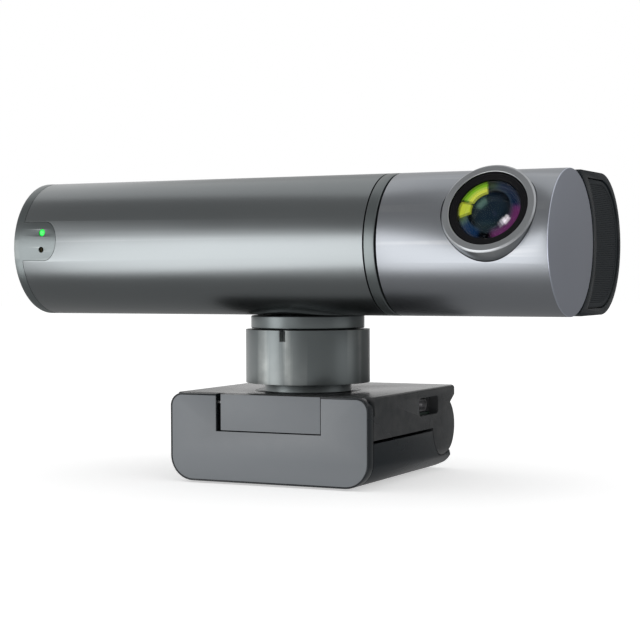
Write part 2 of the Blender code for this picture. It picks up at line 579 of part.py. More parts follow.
def sleeve(use):
    shell = prism("body_sleeve", obround(BODY_R), "X", SLEEVE_LEFT, SLEEVE_RIGHT, use["sleeve"])
    cut(shell, prism("sleeve_room", obround(INNER_R), "X", SLEEVE_LEFT - OVER, SLEEVE_RIGHT + OVER))
    cut(shell, prism("tab_room", tab_outline(GAP), "Y", TILT_Y - BODY_R - OVER, TILT_Y - BODY_R / 2))
    cut(shell, rod("boss_room", RING_BOSS_R + GAP, "Z", (0, 0, 0), BODY_BOTTOM - OVER, BODY_BOTTOM + BODY_WALL + OVER))
    return shell


def spigot(name, start, end):
    """A short tube with the body's section, which fits inside the sleeve's wall."""
    shape = prism(name, obround(INNER_R - GAP), "X", start, end)
    return cut(shape, prism(name + "_room", obround(INNER_R - GAP - SPIGOT_WALL), "X", start - OVER, end + OVER))


SPEAKER_SIZE = (4.6, 13.0, 22.0)     # depth, width and height
SPEAKER_LEFT_Y = TILT_Y + BODY_SPAN / 2
SPEAKER_RIGHT_Y = REAR_Y + 6.2


def left_cap(use):
    face = BODY_LEFT + CAP_WIDTH
    cap = prism("left_end_cap", obround(BODY_R), "X", BODY_LEFT, face, use["trim"])
    join(cap, spigot("cap_spigot", face - JOIN, face + SPIGOT_LENGTH))
    tab = prism("cap_tab", obround(BODY_R), "X", face - JOIN, face + TAB_LENGTH + OVER)
    cut(tab, prism("tab_back", obround(INNER_R), "X", face - OVER, face + TAB_LENGTH + 3))
    boolean(tab, prism("tab_shape", tab_outline(0), "Y", TILT_Y - BODY_R - OVER, TILT_Y - BODY_R / 2), "INTERSECT")
    join(cap, tab)
    depth = GRILLE_SINK + GRILLE_THICK + GAP
    cut(cap, prism("left_grille_seat", obround(BODY_R - GRILLE_BORDER), "X", BODY_LEFT - OVER, BODY_LEFT + depth))
    half_y, half_z = SPEAKER_SIZE[1] / 2 - 1, SPEAKER_SIZE[2] / 2 - 1
    sound = rounded((SPEAKER_LEFT_Y - half_y, TILT_Z - half_z), (SPEAKER_LEFT_Y + half_y, TILT_Z + half_z), (3.0,) * 4, 5)
    cut(cap, prism("left_sound_hole", sound, "X", BODY_LEFT, face + OVER))
    for name, radius, turn in (("led_hole", LED_R + 0.15, LED_DEG), ("mic_hole", MIC_R, MIC_DEG)):
        place = (face + LED_FROM_CAP, 0, on_tube(turn)[1])
        cut(cap, rod(name, radius, "Y", place, TILT_Y - BODY_R - OVER, TILT_Y - 12, steps=20))
    grille = prism("left_grille", obround(BODY_R - GRILLE_BORDER - GAP), "X", BODY_LEFT + GRILLE_SINK,
                   BODY_LEFT + GRILLE_SINK + GRILLE_THICK, use["grille"])
    speaker = speaker_box("left_speaker", face + GAP, 1, SPEAKER_LEFT_Y, use)
    return [cap, grille, speaker]


def speaker_box(name, face, side, middle, use):
    """A box speaker whose front lies on the given plane and whose body runs to the given side."""
    depth, width, height = SPEAKER_SIZE
    outline = rounded((middle - width / 2, TILT_Z - height / 2), (middle + width / 2, TILT_Z + height / 2), (2.5,) * 4, 4)
    start, end = sorted((face, face + side * depth))
    return prism(name, outline, "X", start, end, use["black"])


def status_board(use):
    """Lamp, microphone and the small board behind the tab."""
    x = BODY_LEFT + CAP_WIDTH + LED_FROM_CAP
    depth = INNER_R - 3.2
    front = TILT_Y - depth
    half = sqrt((INNER_R - GAP) ** 2 - depth ** 2)
    left = BODY_LEFT + CAP_WIDTH + SPIGOT_LENGTH + GAP
    board = box("status_board", (left, front, TILT_Z - half), (left + 9, front + 1, TILT_Z + half), use["board"])
    led_y, led_z = on_tube(LED_DEG)
    lamp = rod("status_lamp", LED_R, "Y", (x, 0, led_z), led_y + 0.1, front - GAP, use["led"], 20)
    mic_z = on_tube(MIC_DEG)[1]
    mic = rod("microphone", 1.5, "Y", (x, 0, mic_z), TILT_Y - INNER_R + 0.4, front - GAP, use["gold"], 24)
    return [board, lamp, mic]


def main_board(use):
    """Upright processor board, held between the sleeve's floor and roof, with a finned heat sink."""
    low, high = TILT_Z - INNER_R + GAP, TILT_Z + INNER_R - GAP
    left, right = -60.0, -17.0
    y = TILT_Y + BODY_SPAN / 2 - 0.6
    board = box("main_board", (left, y, low), (right, y + 1.2, high), use["board"])
    base_y = y + 1.2 + GAP
    sink = box("heat_sink", (-54, base_y, TILT_Z - 10), (-28, base_y + 1.6, TILT_Z + 10), use["steel"])
    for index in range(7):
        x = -53.6 + index * 4.2
        join(sink, box(f"sink_fin_{index}", (x, base_y + 1.6 - JOIN, TILT_Z - 9.6), (x + 0.9, base_y + 7.5, TILT_Z + 9.6)))
    return [board, sink]


def bulkhead(use):
    """Ring between sleeve and rear shell; it carries the tilt bearing and the tilt motor."""
    plate = prism("seam_ring", obround(BODY_R), "X", SEAM_LEFT, SEAM_RIGHT, use["trim"])
    join(plate, spigot("seam_spigot", SEAM_LEFT - SPIGOT_LENGTH, SEAM_LEFT + JOIN))
    outer = SHAFT_R + GAP + 2.6
    cut(plate, rod("bearing_seat", outer + GAP, "X", (0, TILT_Y, TILT_Z), SEAM_LEFT - OVER, SEAM_RIGHT + OVER))
    window = rounded((REAR_Y - 1, TILT_Z - 9), (REAR_Y + 9, TILT_Z + 9), (3.0,) * 4, 4)
    cut(plate, prism("cable_window", window, "X", SEAM_LEFT - OVER, SEAM_RIGHT + OVER))
    bearing = ring("tilt_bearing", outer, SHAFT_R + GAP, "X", (0, TILT_Y, TILT_Z), SEAM_LEFT + 0.1, SEAM_RIGHT - 0.1,
                   use["steel"], 32)
    right = SEAM_LEFT - GAP
    bracket = box("motor_bracket", (right - 1.2, TILT_Y - 9, TILT_Z - 9), (right, TILT_Y + 9, TILT_Z + 9), use["steel"])
    cut(bracket, rod("bracket_hole", SHAFT_R + GAP, "X", (0, TILT_Y, TILT_Z), right - 3, right + OVER))
    face = right - 1.2 - GAP
    motor = rod("tilt_motor", 8.0, "X", (0, TILT_Y, TILT_Z), face - 17, face, use["steel"])
    return [plate, bearing, bracket, motor], face


def rear_shell(use):
    """Fixed shell behind the lens head, with the head's round pocket and the right grille."""
    pocket = BODY_R + HEAD_GAP
    lip = TILT_Y + POCKET_LIP
    left = SEAM_RIGHT + GAP
    tilt = (0, TILT_Y, TILT_Z)
    front = (TILT_Y - BODY_R - OVER, TILT_Z - BODY_R - OVER), (lip, TILT_Z + BODY_R + OVER)

    def behind(name, radius, clear, start, end, finish=None):
        """Body section at this radius, less a round bar on the tilt axis and all before the lip."""
        shape = prism(name, obround(radius), "X", start, end, finish)
        cut(shape, rod(name + "_bar", clear, "X", tilt, start - OVER, end + OVER, steps=48))
        ahead = box(name + "_ahead", (start - OVER, *front[0]), (end + OVER, *front[1]))
        return cut(shape, ahead)

    shell = behind("rear_shell", BODY_R, pocket, left, BODY_RIGHT, use["base"])
    cut(shell, behind("rear_room", INNER_R, pocket + POCKET_WALL, left - OVER, BODY_RIGHT - END_WALL))
    depth = GRILLE_SINK + GRILLE_THICK + GAP
    rim = pocket + RIM_WIDTH
    cut(shell, behind("right_grille_seat", BODY_R - GRILLE_BORDER, rim, BODY_RIGHT - depth, BODY_RIGHT + OVER))
    grille = behind("right_grille", BODY_R - GRILLE_BORDER - GAP, rim + GAP, BODY_RIGHT - GRILLE_SINK - GRILLE_THICK,
                    BODY_RIGHT - GRILLE_SINK, use["grille"])
    half_y, half_z = SPEAKER_SIZE[1] / 2 - 1, SPEAKER_SIZE[2] / 2 - 1
    sound = rounded((SPEAKER_RIGHT_Y - half_y, TILT_Z - half_z), (SPEAKER_RIGHT_Y + half_y, TILT_Z + half_z), (3.0,) * 4, 5)
    cut(shell, prism("right_sound_hole", sound, "X", BODY_RIGHT - END_WALL - OVER, BODY_RIGHT))
    speaker = speaker_box("right_speaker", BODY_RIGHT - END_WALL - GAP, -1, SPEAKER_RIGHT_Y, use)
    return [shell, grille, speaker]


# ---------------------------------------------------------------- lens head

def head(use, motor_face):
    """Round barrel, its end disc and hub, and the drive shaft."""
    tilt = (0, TILT_Y, TILT_Z)
    inner = BODY_R - HEAD_WALL
    disc_left = BODY_RIGHT - END_DISC
    barrel = ring("head_shell", BODY_R, inner, "X", tilt, HEAD_LEFT, disc_left - GAP, use["head"], 64)
    hole = on_lens(rod("lens_hole", BEZEL_R + 0.2, "Z", (0, 0, 0), 0, BODY_R + 5, steps=48))
    cut(barrel, hole)
    spigot_end = disc_left - DISC_SPIGOT
    profile = [(0, disc_left), (inner - GAP - 1.5, disc_left), (inner - GAP - 1.5, spigot_end), (inner - GAP, spigot_end),
               (inner - GAP, disc_left), (BODY_R, disc_left), (BODY_R, BODY_RIGHT - EDGE_CHAMFER),
               (BODY_R - EDGE_CHAMFER, BODY_RIGHT), (0, BODY_RIGHT)]
    disc = turned("head_end_disc", profile, "X", tilt, use["head"], 64)
    hub_left = HEAD_LEFT + 0.2
    hub = ring("head_hub", inner - GAP, SHAFT_R + GAP, "X", tilt, hub_left, hub_left + HUB_THICK, use["black"], 36)
    shaft = rod("tilt_shaft", SHAFT_R, "X", tilt, motor_face + GAP, hub_left + HUB_THICK - 0.1, use["steel"], 24)
    return [barrel, disc, hub, shaft], hub_left + HUB_THICK


def on_lens(item):
    """Places a shape modelled round the Z axis on the lens axis."""
    item.matrix_world = Matrix.Translation(Vector((LENS_X, TILT_Y, TILT_Z)) * MM) @ Matrix.Rotation(pi / 2 - LENS_UP, 4, "X")
    return item


def lens_group(use, hub_face):
    """Everything on the lens axis, from the board behind the sensor to the front glass."""
    seat = BEZEL_TOP - BEZEL_DEPTH
    bezel = [(BEZEL_BORE, seat), (BEZEL_R, seat), (BEZEL_R, BEZEL_TOP - 0.5), (BEZEL_R - 0.5, BEZEL_TOP),
             (BEZEL_BORE + 0.3, BEZEL_TOP), (BEZEL_BORE, BEZEL_TOP - 0.3)]
    trim_top = BEZEL_TOP - TRIM_SINK
    trim_out = BEZEL_BORE - 0.2
    trim = [(TRIM_BORE, trim_top - 2.0), (trim_out, trim_top - 2.0), (trim_out, trim_top), (trim_out - 0.4, trim_top),
            (TRIM_BORE, trim_top - 0.3)]
    glass_r = TRIM_BORE - 0.2
    edge = trim_top - 0.6
    dome = []
    rise = sqrt(LENS_CURVE ** 2 - glass_r ** 2)
    for index in range(7):
        r = glass_r * (1 - index / 6)
        dome.append((r, edge + sqrt(LENS_CURVE ** 2 - r ** 2) - rise))
    front_glass = [(0, edge - 1.4), (glass_r, edge - 1.4)] + dome
    barrel_top = edge - 1.4 - GAP
    barrel = [(BARREL_BORE, BARREL_FOOT), (BARREL_R, BARREL_FOOT), (BARREL_R, barrel_top), (BARREL_BORE, barrel_top)]
    lens_edge = BARREL_BORE - GAP
    mid_z, rear_z = barrel_top - 4.8, barrel_top - 9.4
    rear_glass = [(0, rear_z), (lens_edge, rear_z), (lens_edge, rear_z + 2.0), (0, rear_z + 3.2)]
    mid_glass = [(0, mid_z), (lens_edge, mid_z + 0.4), (lens_edge, mid_z + 2.0), (0, mid_z + 1.4)]
    items = [turned("lens_bezel", bezel, "Z", (0, 0, 0), use["trim"], 48),
             turned("lens_trim", trim, "Z", (0, 0, 0), use["black"], 36),
             turned("front_lens", front_glass, "Z", (0, 0, 0), use["glass"], 28),
             turned("lens_barrel", barrel, "Z", (0, 0, 0), use["black"], 28),
             turned("rear_lens", rear_glass, "Z", (0, 0, 0), use["glass"], 20),
             turned("middle_lens", mid_glass, "Z", (0, 0, 0), use["glass"], 20)]
    half = BOARD_SIDE / 2
    board_top = BARREL_FOOT - GAP
    items.append(box("sensor_board", (-half, -half, board_top - BOARD_THICK), (half, half, board_top), use["board"]))
    items.append(box("image_sensor", (-4, -3, board_top + GAP), (4, 3, board_top + GAP + 1.1), use["black"]))
    plate_top = board_top - BOARD_THICK - GAP
    left = hub_face + GAP - LENS_X
    right = BODY_RIGHT - END_DISC - DISC_SPIGOT - GAP - LENS_X
    items.append(box("head_frame", (left, -9, plate_top - 1.6), (right, 9, plate_top), use["steel"]))
    for item in items:
        on_lens(item)
    return items


def build():
    clear_scene()
    use = finishes()
    leg_axis = axis_empty("leg_axis", (0, BARREL_Y, BARREL_Z))
    flap_axis = axis_empty("flap_axis", (0, FLAP_Y, FLAP_Z))
    pan_axis = axis_empty("pan_axis", (0, 0, COLLAR_TOP))
    tilt_axis = axis_empty("tilt_axis", (LENS_X, TILT_Y, TILT_Z), pan_axis)
    base_cover(use)
    base_floor(use)
    base_screws(use)
    control_board(use)
    usb_socket(use)
    hinge_pins(use)
    leg(use, leg_axis)
    flap(use, flap_axis)
    pan_drive(use, pan_axis, column(use))
    bulkhead_items, motor_face = bulkhead(use)
    items = left_cap(use) + status_board(use) + main_board(use) + bulkhead_items + rear_shell(use) + [sleeve(use)]
    for item in items:
        carry(item, pan_axis)
    head_items, hub_face = head(use, motor_face)
    for item in head_items + lens_group(use, hub_face):
        carry(item, tilt_axis)


build()
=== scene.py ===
# %% [markdown]
# # A pan and tilt camera on a folding base
#
# The object is a desktop camera: a bar-shaped metal body, a round lens head that tilts at its
# right end, a column that pans, and a folding base with a flap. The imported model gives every
# piece its place; this file gives each piece its fine shape and its finish.

# %% Load the frame
import json
from contextlib import contextmanager
from math import acos, cos, degrees, pi, radians, sin, sqrt

import bmesh
import bpy
from mathutils import Matrix, Vector


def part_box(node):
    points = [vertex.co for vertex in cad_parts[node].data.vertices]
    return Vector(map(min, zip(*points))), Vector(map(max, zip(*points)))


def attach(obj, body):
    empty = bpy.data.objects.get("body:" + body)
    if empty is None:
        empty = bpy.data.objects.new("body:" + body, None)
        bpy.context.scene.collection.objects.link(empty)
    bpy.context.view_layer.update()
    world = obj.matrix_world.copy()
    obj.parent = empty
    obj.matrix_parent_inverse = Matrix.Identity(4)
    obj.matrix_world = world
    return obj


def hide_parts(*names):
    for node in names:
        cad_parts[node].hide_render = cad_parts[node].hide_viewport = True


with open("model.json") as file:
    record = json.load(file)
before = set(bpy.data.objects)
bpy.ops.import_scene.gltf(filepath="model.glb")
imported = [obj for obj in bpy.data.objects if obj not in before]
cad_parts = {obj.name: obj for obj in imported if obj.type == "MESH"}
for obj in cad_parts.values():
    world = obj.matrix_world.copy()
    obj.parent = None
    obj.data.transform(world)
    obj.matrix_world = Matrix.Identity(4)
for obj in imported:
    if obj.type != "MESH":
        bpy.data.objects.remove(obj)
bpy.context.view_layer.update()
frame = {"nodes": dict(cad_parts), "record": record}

# %% [markdown]
# ## Sizes
#
# The real camera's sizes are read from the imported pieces, so that each new piece fits the one
# it stands for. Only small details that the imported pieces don't hold, such as the radius of an
# edge, are written here. Everything is in metres; `MM` keeps the numbers readable.

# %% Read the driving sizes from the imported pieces
MM = 0.001
GAP = 0.3 * MM
OVER = 1.0 * MM

sleeve_low, sleeve_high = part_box("body_sleeve")
cap_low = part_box("left_end_cap")[0]
ring_low, ring_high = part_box("seam_ring")
head_low, head_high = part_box("head_shell")
disc_low, disc_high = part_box("head_end_disc")
rear_low, rear_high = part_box("rear_shell")

BODY_R = (sleeve_high.z - sleeve_low.z) / 2
TILT_Z = (sleeve_high.z + sleeve_low.z) / 2
TILT_Y = sleeve_low.y + BODY_R
REAR_Y = sleeve_high.y - BODY_R
BODY_SPAN = REAR_Y - TILT_Y
WALL = 1.6 * MM
CAP_RIGHT = sleeve_low.x - GAP
POCKET_R = BODY_R + 0.6 * MM
GRILLE_BORDER = 1.7 * MM
GRILLE_DEPTH = 1.4 * MM
RIM = 2.4 * MM
LENS_UP = radians(26.5)
LENS_X = 61.0 * MM
LENS_FACE = BODY_R + 0.29 * MM
BEZEL_R = 11.8 * MM
BEZEL_BORE = 9.8 * MM
EDGE = 0.28 * MM
print("body radius", round(BODY_R / MM, 2), "mm, tilt axis at", round(TILT_Y / MM, 2),
      round(TILT_Z / MM, 2))

# %% [markdown]
# ## The camera that takes the picture
#
# The product is seen from a little to the right of straight ahead, almost level with it, through
# a long lens, which keeps the bar's ends nearly the same size. The pose is three turns and a
# place. It comes first, so that the rest can be judged through it.

# %% Set up the view
VIEW_YAW, VIEW_PITCH, VIEW_ROLL = radians(25.93), radians(1.582), radians(-0.232)
VIEW_PLACE = Vector((197.38, -398.55, 54.2)) * MM
SENSOR_WIDTH, FOCAL_LENGTH = 36, 93.67

ahead = Vector((-sin(VIEW_YAW) * cos(VIEW_PITCH), cos(VIEW_YAW) * cos(VIEW_PITCH), -sin(VIEW_PITCH)))
level = Vector((cos(VIEW_YAW), sin(VIEW_YAW), 0))
upright = level.cross(ahead)
right = level * cos(VIEW_ROLL) + upright * sin(VIEW_ROLL)
up = upright * cos(VIEW_ROLL) - level * sin(VIEW_ROLL)

lens_data = bpy.data.cameras.new("studio_camera")
lens_data.sensor_width = SENSOR_WIDTH
lens_data.lens = FOCAL_LENGTH
lens_data.clip_start = 0.01
viewer = bpy.data.objects.new("studio_camera", lens_data)
bpy.context.scene.collection.objects.link(viewer)
viewer.matrix_world = Matrix((right, up, -ahead)).transposed().to_4x4()
viewer.location = VIEW_PLACE
bpy.context.scene.camera = viewer
bpy.context.scene.view_settings.view_transform = "Standard"
print("camera", [round(v, 3) for v in viewer.location], "lens", lens_data.lens, "mm")

# %% [markdown]
# ## Helpers for shapes
#
# Two ways of working make most housings: a flat outline pulled straight, and a profile turned
# round an axis. Booleans cut and join them, and then their sharp edges get a small bevel,
# because a real edge always catches a line of light.

# %% Outline helpers
def arc(centre, radius, start, end, steps):
    """Points on an arc, with the angles in degrees."""
    turns = [radians(start + (end - start) * i / steps) for i in range(steps + 1)]
    return [(centre[0] + radius * cos(t), centre[1] + radius * sin(t)) for t in turns]


def rounded(low, high, radii, steps=10):
    """A rectangle with its own radius at each corner, from bottom left, anticlockwise."""
    corners = ((low[0], low[1], 1, 1, 180), (high[0], low[1], -1, 1, 270),
               (high[0], high[1], -1, -1, 0), (low[0], high[1], 1, -1, 90))
    points = []
    for (x, y, side, rise, turn), r in zip(corners, radii):
        points += arc((x + side * r, y + rise * r), r, turn, turn + 90, steps)
    return points


# %% Solid helpers
def new_object(name, bm):
    bmesh.ops.recalc_face_normals(bm, faces=bm.faces)
    mesh = bpy.data.meshes.new(name)
    bm.to_mesh(mesh)
    bm.free()
    made = bpy.data.objects.new(name, mesh)
    bpy.context.scene.collection.objects.link(made)
    return made


@contextmanager
def edit(item):
    """Opens the object's mesh for changes, and writes them back."""
    bm = bmesh.new()
    bm.from_mesh(item.data)
    yield bm
    bm.to_mesh(item.data)
    bm.free()


def prism(name, outline, axis, start, end):
    """An outline pulled along X, Y or Z. Its two numbers are the other two axes, in order."""
    place = {"X": lambda a, b: (start, a, b), "Y": lambda a, b: (a, start, b), "Z": lambda a,
             b: (a, b, start)}
    bm = bmesh.new()
    face = bm.faces.new([bm.verts.new(place[axis](a, b)) for a, b in outline])
    pulled = bmesh.ops.extrude_face_region(bm, geom=[face])["geom"]
    shift = Vector([(end - start) * (axis == letter) for letter in "XYZ"])
    bmesh.ops.translate(bm, verts=[v for v in pulled if isinstance(v, bmesh.types.BMVert)], vec=shift)
    return new_object(name, bm)


def block(name, low, high):
    outline = [(low[0], low[1]), (high[0], low[1]), (high[0], high[1]), (low[0], high[1])]
    return prism(name, outline, "Z", low[2], high[2])


TURN = {"X": Matrix.Rotation(pi / 2, 4, "Y"), "Y": Matrix.Rotation(-pi / 2, 4, "X"), "Z": Matrix()}
LENS_FRAME = Matrix.Translation((LENS_X, TILT_Y, TILT_Z)) @ Matrix.Rotation(pi / 2 - LENS_UP, 4, "X")


def turned(name, profile, axis="Z", centre=(0, 0, 0), steps=128, matrix=None):
    """A profile of (radius, height) turned round an axis, or round the Z axis of a given frame."""
    bm = bmesh.new()
    points = [bm.verts.new((r, 0, h)) for r, h in profile]
    edges = [bm.edges.new(pair) for pair in zip(points, points[1:])]
    if profile[0][0] > 1e-9:
        edges.append(bm.edges.new((points[-1], points[0])))
    bmesh.ops.spin(bm, geom=points + edges, cent=(0, 0, 0), axis=(0, 0, 1), angle=2 * pi, steps=steps,
                   use_merge=True)
    bmesh.ops.remove_doubles(bm, verts=bm.verts, dist=1e-7)
    place = matrix or Matrix.Translation(centre) @ TURN[axis]
    bmesh.ops.transform(bm, matrix=place, verts=bm.verts)
    return new_object(name, bm)


def rod(name, radius, axis, centre, start, end, steps=96):
    return turned(name, [(0, start), (radius, start), (radius, end), (0, end)], axis, centre, steps)


def boolean(target, *others, operation="DIFFERENCE"):
    for other in others:
        step = target.modifiers.new(operation.title(), "BOOLEAN")
        step.object = other
        step.operation = operation
        step.solver = "EXACT"
    return target


def drop(item):
    mesh = item.data
    bpy.data.objects.remove(item)
    if mesh.users == 0:
        bpy.data.meshes.remove(mesh)


def bake(item):
    """Replaces the object's mesh with what its modifiers make, and removes the helpers they used."""
    helpers = [m.object for m in item.modifiers if m.type == "BOOLEAN"]
    bpy.context.view_layer.update()
    graph = bpy.context.evaluated_depsgraph_get()
    mesh = bpy.data.meshes.new_from_object(item.evaluated_get(graph))
    item.modifiers.clear()
    item.data = mesh
    for helper in set(helpers):
        drop(helper)
    return item


def soften(item, width=EDGE, segments=3, angle=32):
    """Rounds the sharp edges and shades the rest smooth."""
    bake(item)
    with edit(item) as bm:
        bmesh.ops.remove_doubles(bm, verts=bm.verts, dist=2e-7)
        bmesh.ops.dissolve_degenerate(bm, edges=bm.edges, dist=1e-7)
    if width:
        edge = item.modifiers.new("Edge", "BEVEL")
        edge.width = width
        edge.segments = segments
        edge.limit_method = "ANGLE"
        edge.angle_limit = radians(angle)
        edge.use_clamp_overlap = True
        edge.harden_normals = False
        bake(item)
    item.data.shade_smooth()
    item.data.set_sharp_from_angle(angle=radians(38))
    return item


shown = []


def fit(item, body, slot, material, *nodes):
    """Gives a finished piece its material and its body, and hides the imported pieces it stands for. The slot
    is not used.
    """
    item.data.materials.clear()
    item.data.materials.append(material)
    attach(item, body)
    if nodes:
        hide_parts(*nodes)
    shown.append(item.name)
    return item


print("helpers ready")

# %% [markdown]
# ## Shared surface effects
#
# A bead-blasted or moulded surface is never one flat colour: it has a fine grain, and it is
# rougher in some places than in others. Edges that are touched become lighter. These effects
# are shader node groups, built once, so that each material places them with its own values.

# %% Node helpers
def add(tree, kind, links=None, **settings):
    """A node with its settings, and its inputs by name or number: a socket is linked, a value is set."""
    node = tree.nodes.new(kind)
    for key, value in settings.items():
        setattr(node, key, value)
    for key, value in (links or {}).items():
        if isinstance(value, bpy.types.NodeSocket):
            tree.links.new(value, node.inputs[key])
        else:
            node.inputs[key].default_value = value
    return node


def maths(tree):
    """A short way to write sums in a tree: the operation, then its values or sockets."""
    def calc(operation, *values):
        return add(tree, "ShaderNodeMath", dict(enumerate(values)), operation=operation).outputs[0]
    return calc


def scaled(tree, vector, factor):
    return add(tree, "ShaderNodeVectorMath", {0: vector, "Scale": factor}, operation="SCALE").outputs[0]


def mix_colour(tree, factor, first, second):
    """The first colour is a socket, and the second is three plain numbers."""
    links = {0: factor, 6: first, 7: (*second, 1)}
    return add(tree, "ShaderNodeMix", links, data_type="RGBA").outputs[2]


def noise(tree, place, scale, detail):
    return add(tree, "ShaderNodeTexNoise", {"Vector": place, "Scale": scale, "Detail": detail}).outputs[0]


def new_group(name, inputs, outputs, kind="ShaderNodeTree"):
    """A node group whose sockets each have a name, a kind and perhaps a value."""
    group = bpy.data.node_groups.new(name, kind)
    for direction, rows in (("INPUT", inputs), ("OUTPUT", outputs)):
        for label, socket_kind, *value in rows:
            socket = group.interface.new_socket(label, in_out=direction,
                                                socket_type="NodeSocket" + socket_kind)
            if value:
                socket.default_value = value[0]
    given = group.nodes.new("NodeGroupInput")
    return group, given.outputs, group.nodes.new("NodeGroupOutput").inputs


# %% Grain: colour and roughness that vary, with a fine bump
def make_grain():
    group, given, out = new_group(
        "surface_grain",
        [("Colour", "Color", (0.5, 0.5, 0.5, 1)), ("Scale", "Float", 2000.0),
         ("Stretch", "Vector", (1, 1, 1)),
         ("Variation", "Float", 0.06), ("Roughness", "Float", 0.4), ("Roughness Spread", "Float", 0.05)],
        [("Colour", "Color"), ("Roughness", "Float"), ("Height", "Float")])
    calc = maths(group)
    place = add(group, "ShaderNodeTexCoord").outputs["Object"]
    stretched = add(group, "ShaderNodeVectorMath", {0: place, 1: given["Stretch"]},
                    operation="MULTIPLY").outputs[0]
    fine = noise(group, stretched, given["Scale"], 3)
    broad = noise(group, place, 45, 2)
    both = calc("MULTIPLY_ADD", fine, 0.6, calc("MULTIPLY", broad, 0.4))
    gain = calc("MULTIPLY_ADD", calc("SUBTRACT", both, 0.5), given["Variation"], 1.0)
    rough = calc("MULTIPLY_ADD", calc("SUBTRACT", broad, 0.5), given["Roughness Spread"],
                 given["Roughness"])
    group.links.new(scaled(group, given["Colour"], gain), out["Colour"])
    group.links.new(rough, out["Roughness"])
    group.links.new(fine, out["Height"])
    return group


# %% Wear: a mask that is 1 on convex edges that hands and tables rub
def make_wear():
    group, given, out = new_group(
        "edge_wear", [("Amount", "Float", 0.5), ("Scale", "Float", 300.0)], [("Mask", "Float")])
    calc = maths(group)
    edge = add(group, "ShaderNodeNewGeometry").outputs["Pointiness"]
    spots = noise(group, add(group, "ShaderNodeTexCoord").outputs["Object"], given["Scale"], 3)
    sharp = calc("MULTIPLY", calc("SUBTRACT", edge, 0.53), 9.0)
    broken = calc("MULTIPLY", sharp, calc("ADD", spots, 0.3))
    mask = add(group, "ShaderNodeClamp", {0: calc("MULTIPLY", broken, given["Amount"])})
    group.links.new(mask.outputs[0], out["Mask"])
    return group


# %% Dust: a thin pale film that settles on what faces up
def make_dust():
    group, given, out = new_group("settled_dust", [("Amount", "Float", 0.05)], [("Mask", "Float")])
    calc = maths(group)
    normal = add(group, "ShaderNodeNewGeometry").outputs["Normal"]
    upward = calc("MAXIMUM", add(group, "ShaderNodeSeparateXYZ", {0: normal}).outputs["Z"], 0.0)
    cloud = noise(group, add(group, "ShaderNodeTexCoord").outputs["Object"], 120, 5)
    group.links.new(calc("MULTIPLY", calc("MULTIPLY", upward, cloud), given["Amount"]), out["Mask"])
    return group


GRAIN, WEAR, DUST = make_grain(), make_wear(), make_dust()
print("effects:", GRAIN.name, WEAR.name, DUST.name)

# %% [markdown]
# ## Materials
#
# The body is aluminium, blasted and dyed a gunmetal grey: a metal with a medium gloss, whose
# colour is what it reflects. The base is moulded plastic, nearly black, with a fine spark
# texture. Each finish is one Principled shader with its plain values set on its own sockets,
# and the effects above feed only what varies.

# %% One recipe for every solid finish
def finish(name, colour, roughness, metallic=0.0, grain=2500.0, variation=0.08, spread=0.06, bump=0.02,
           stretch=(1, 1, 1), wear=0.0, worn=(0.6, 0.6, 0.6), dust=0.03, **plain):
    """A material with grain, wear and dust. What is left in plain goes on the shader's own sockets."""
    made = bpy.data.materials.new(name)
    made.use_nodes = True
    tree = made.node_tree
    shader = tree.nodes["Principled BSDF"]
    values = {"Colour": (*colour, 1), "Scale": grain, "Stretch": stretch, "Variation": variation,
              "Roughness": roughness, "Roughness Spread": spread}
    surface = add(tree, "ShaderNodeGroup", values, node_tree=GRAIN)
    shade = surface.outputs["Colour"]
    if wear:
        rubbed = add(tree, "ShaderNodeGroup", {"Amount": wear}, node_tree=WEAR)
        shade = mix_colour(tree, rubbed.outputs["Mask"], shade, worn)
    if dust:
        film = add(tree, "ShaderNodeGroup", {"Amount": dust}, node_tree=DUST)
        shade = mix_colour(tree, film.outputs["Mask"], shade, (0.5, 0.49, 0.47))
    height = surface.outputs["Height"]
    relief = add(tree, "ShaderNodeBump", {"Strength": bump, "Distance": 0.05 * MM, "Height": height})
    tree.links.new(shade, shader.inputs["Base Color"])
    tree.links.new(surface.outputs["Roughness"], shader.inputs["Roughness"])
    tree.links.new(relief.outputs[0], shader.inputs["Normal"])
    for socket, value in {"Metallic": metallic, **plain}.items():
        shader.inputs[socket.replace("_", " ")].default_value = value
    return made


# %% Metals
sleeve_metal = finish("sleeve_metal", (0.195, 0.21, 0.215), 0.3, 1.0, 3500, 0.1, 0.05, 0.05,
                      wear=0.25, worn=(0.5, 0.5, 0.5))
head_metal = finish("head_metal", (0.29, 0.305, 0.328), 0.34, 1.0, 3500, 0.1, 0.05, 0.05,
                    wear=0.2, worn=(0.55, 0.55, 0.56))
disc_metal = finish("disc_metal", (0.5, 0.53, 0.605), 0.36, 1.0, 3000, 0.06, 0.04, 0.04)
trim_metal = finish("trim_metal", (0.14, 0.156, 0.158), 0.36, 0.9, 3000, 0.08, 0.05, 0.05,
                    wear=0.3, worn=(0.4, 0.42, 0.41))
bezel_metal = finish("bezel_metal", (0.4, 0.415, 0.43), 0.34, 1.0, 3000, 0.05, 0.04, 0.03, wear=0.25)
flap_metal = finish("flap_metal", (0.18, 0.193, 0.206), 0.5, 0.15, 4000, 0.08, 0.05, 0.06,
                    wear=0.2, worn=(0.3, 0.3, 0.3), Specular_IOR_Level=0.3)
steel = finish("plain_steel", (0.5, 0.5, 0.51), 0.3, 1.0, 1500, 0.1, 0.1, 0.05, stretch=(1, 1, 12))
sink_metal = finish("sink_metal", (0.5, 0.51, 0.53), 0.4, 1.0, 1500, 0.1, 0.08, 0.05)
brass = finish("plated_brass", (0.6, 0.45, 0.2), 0.3, 1.0, 2000, 0.1, 0.08, 0.05)

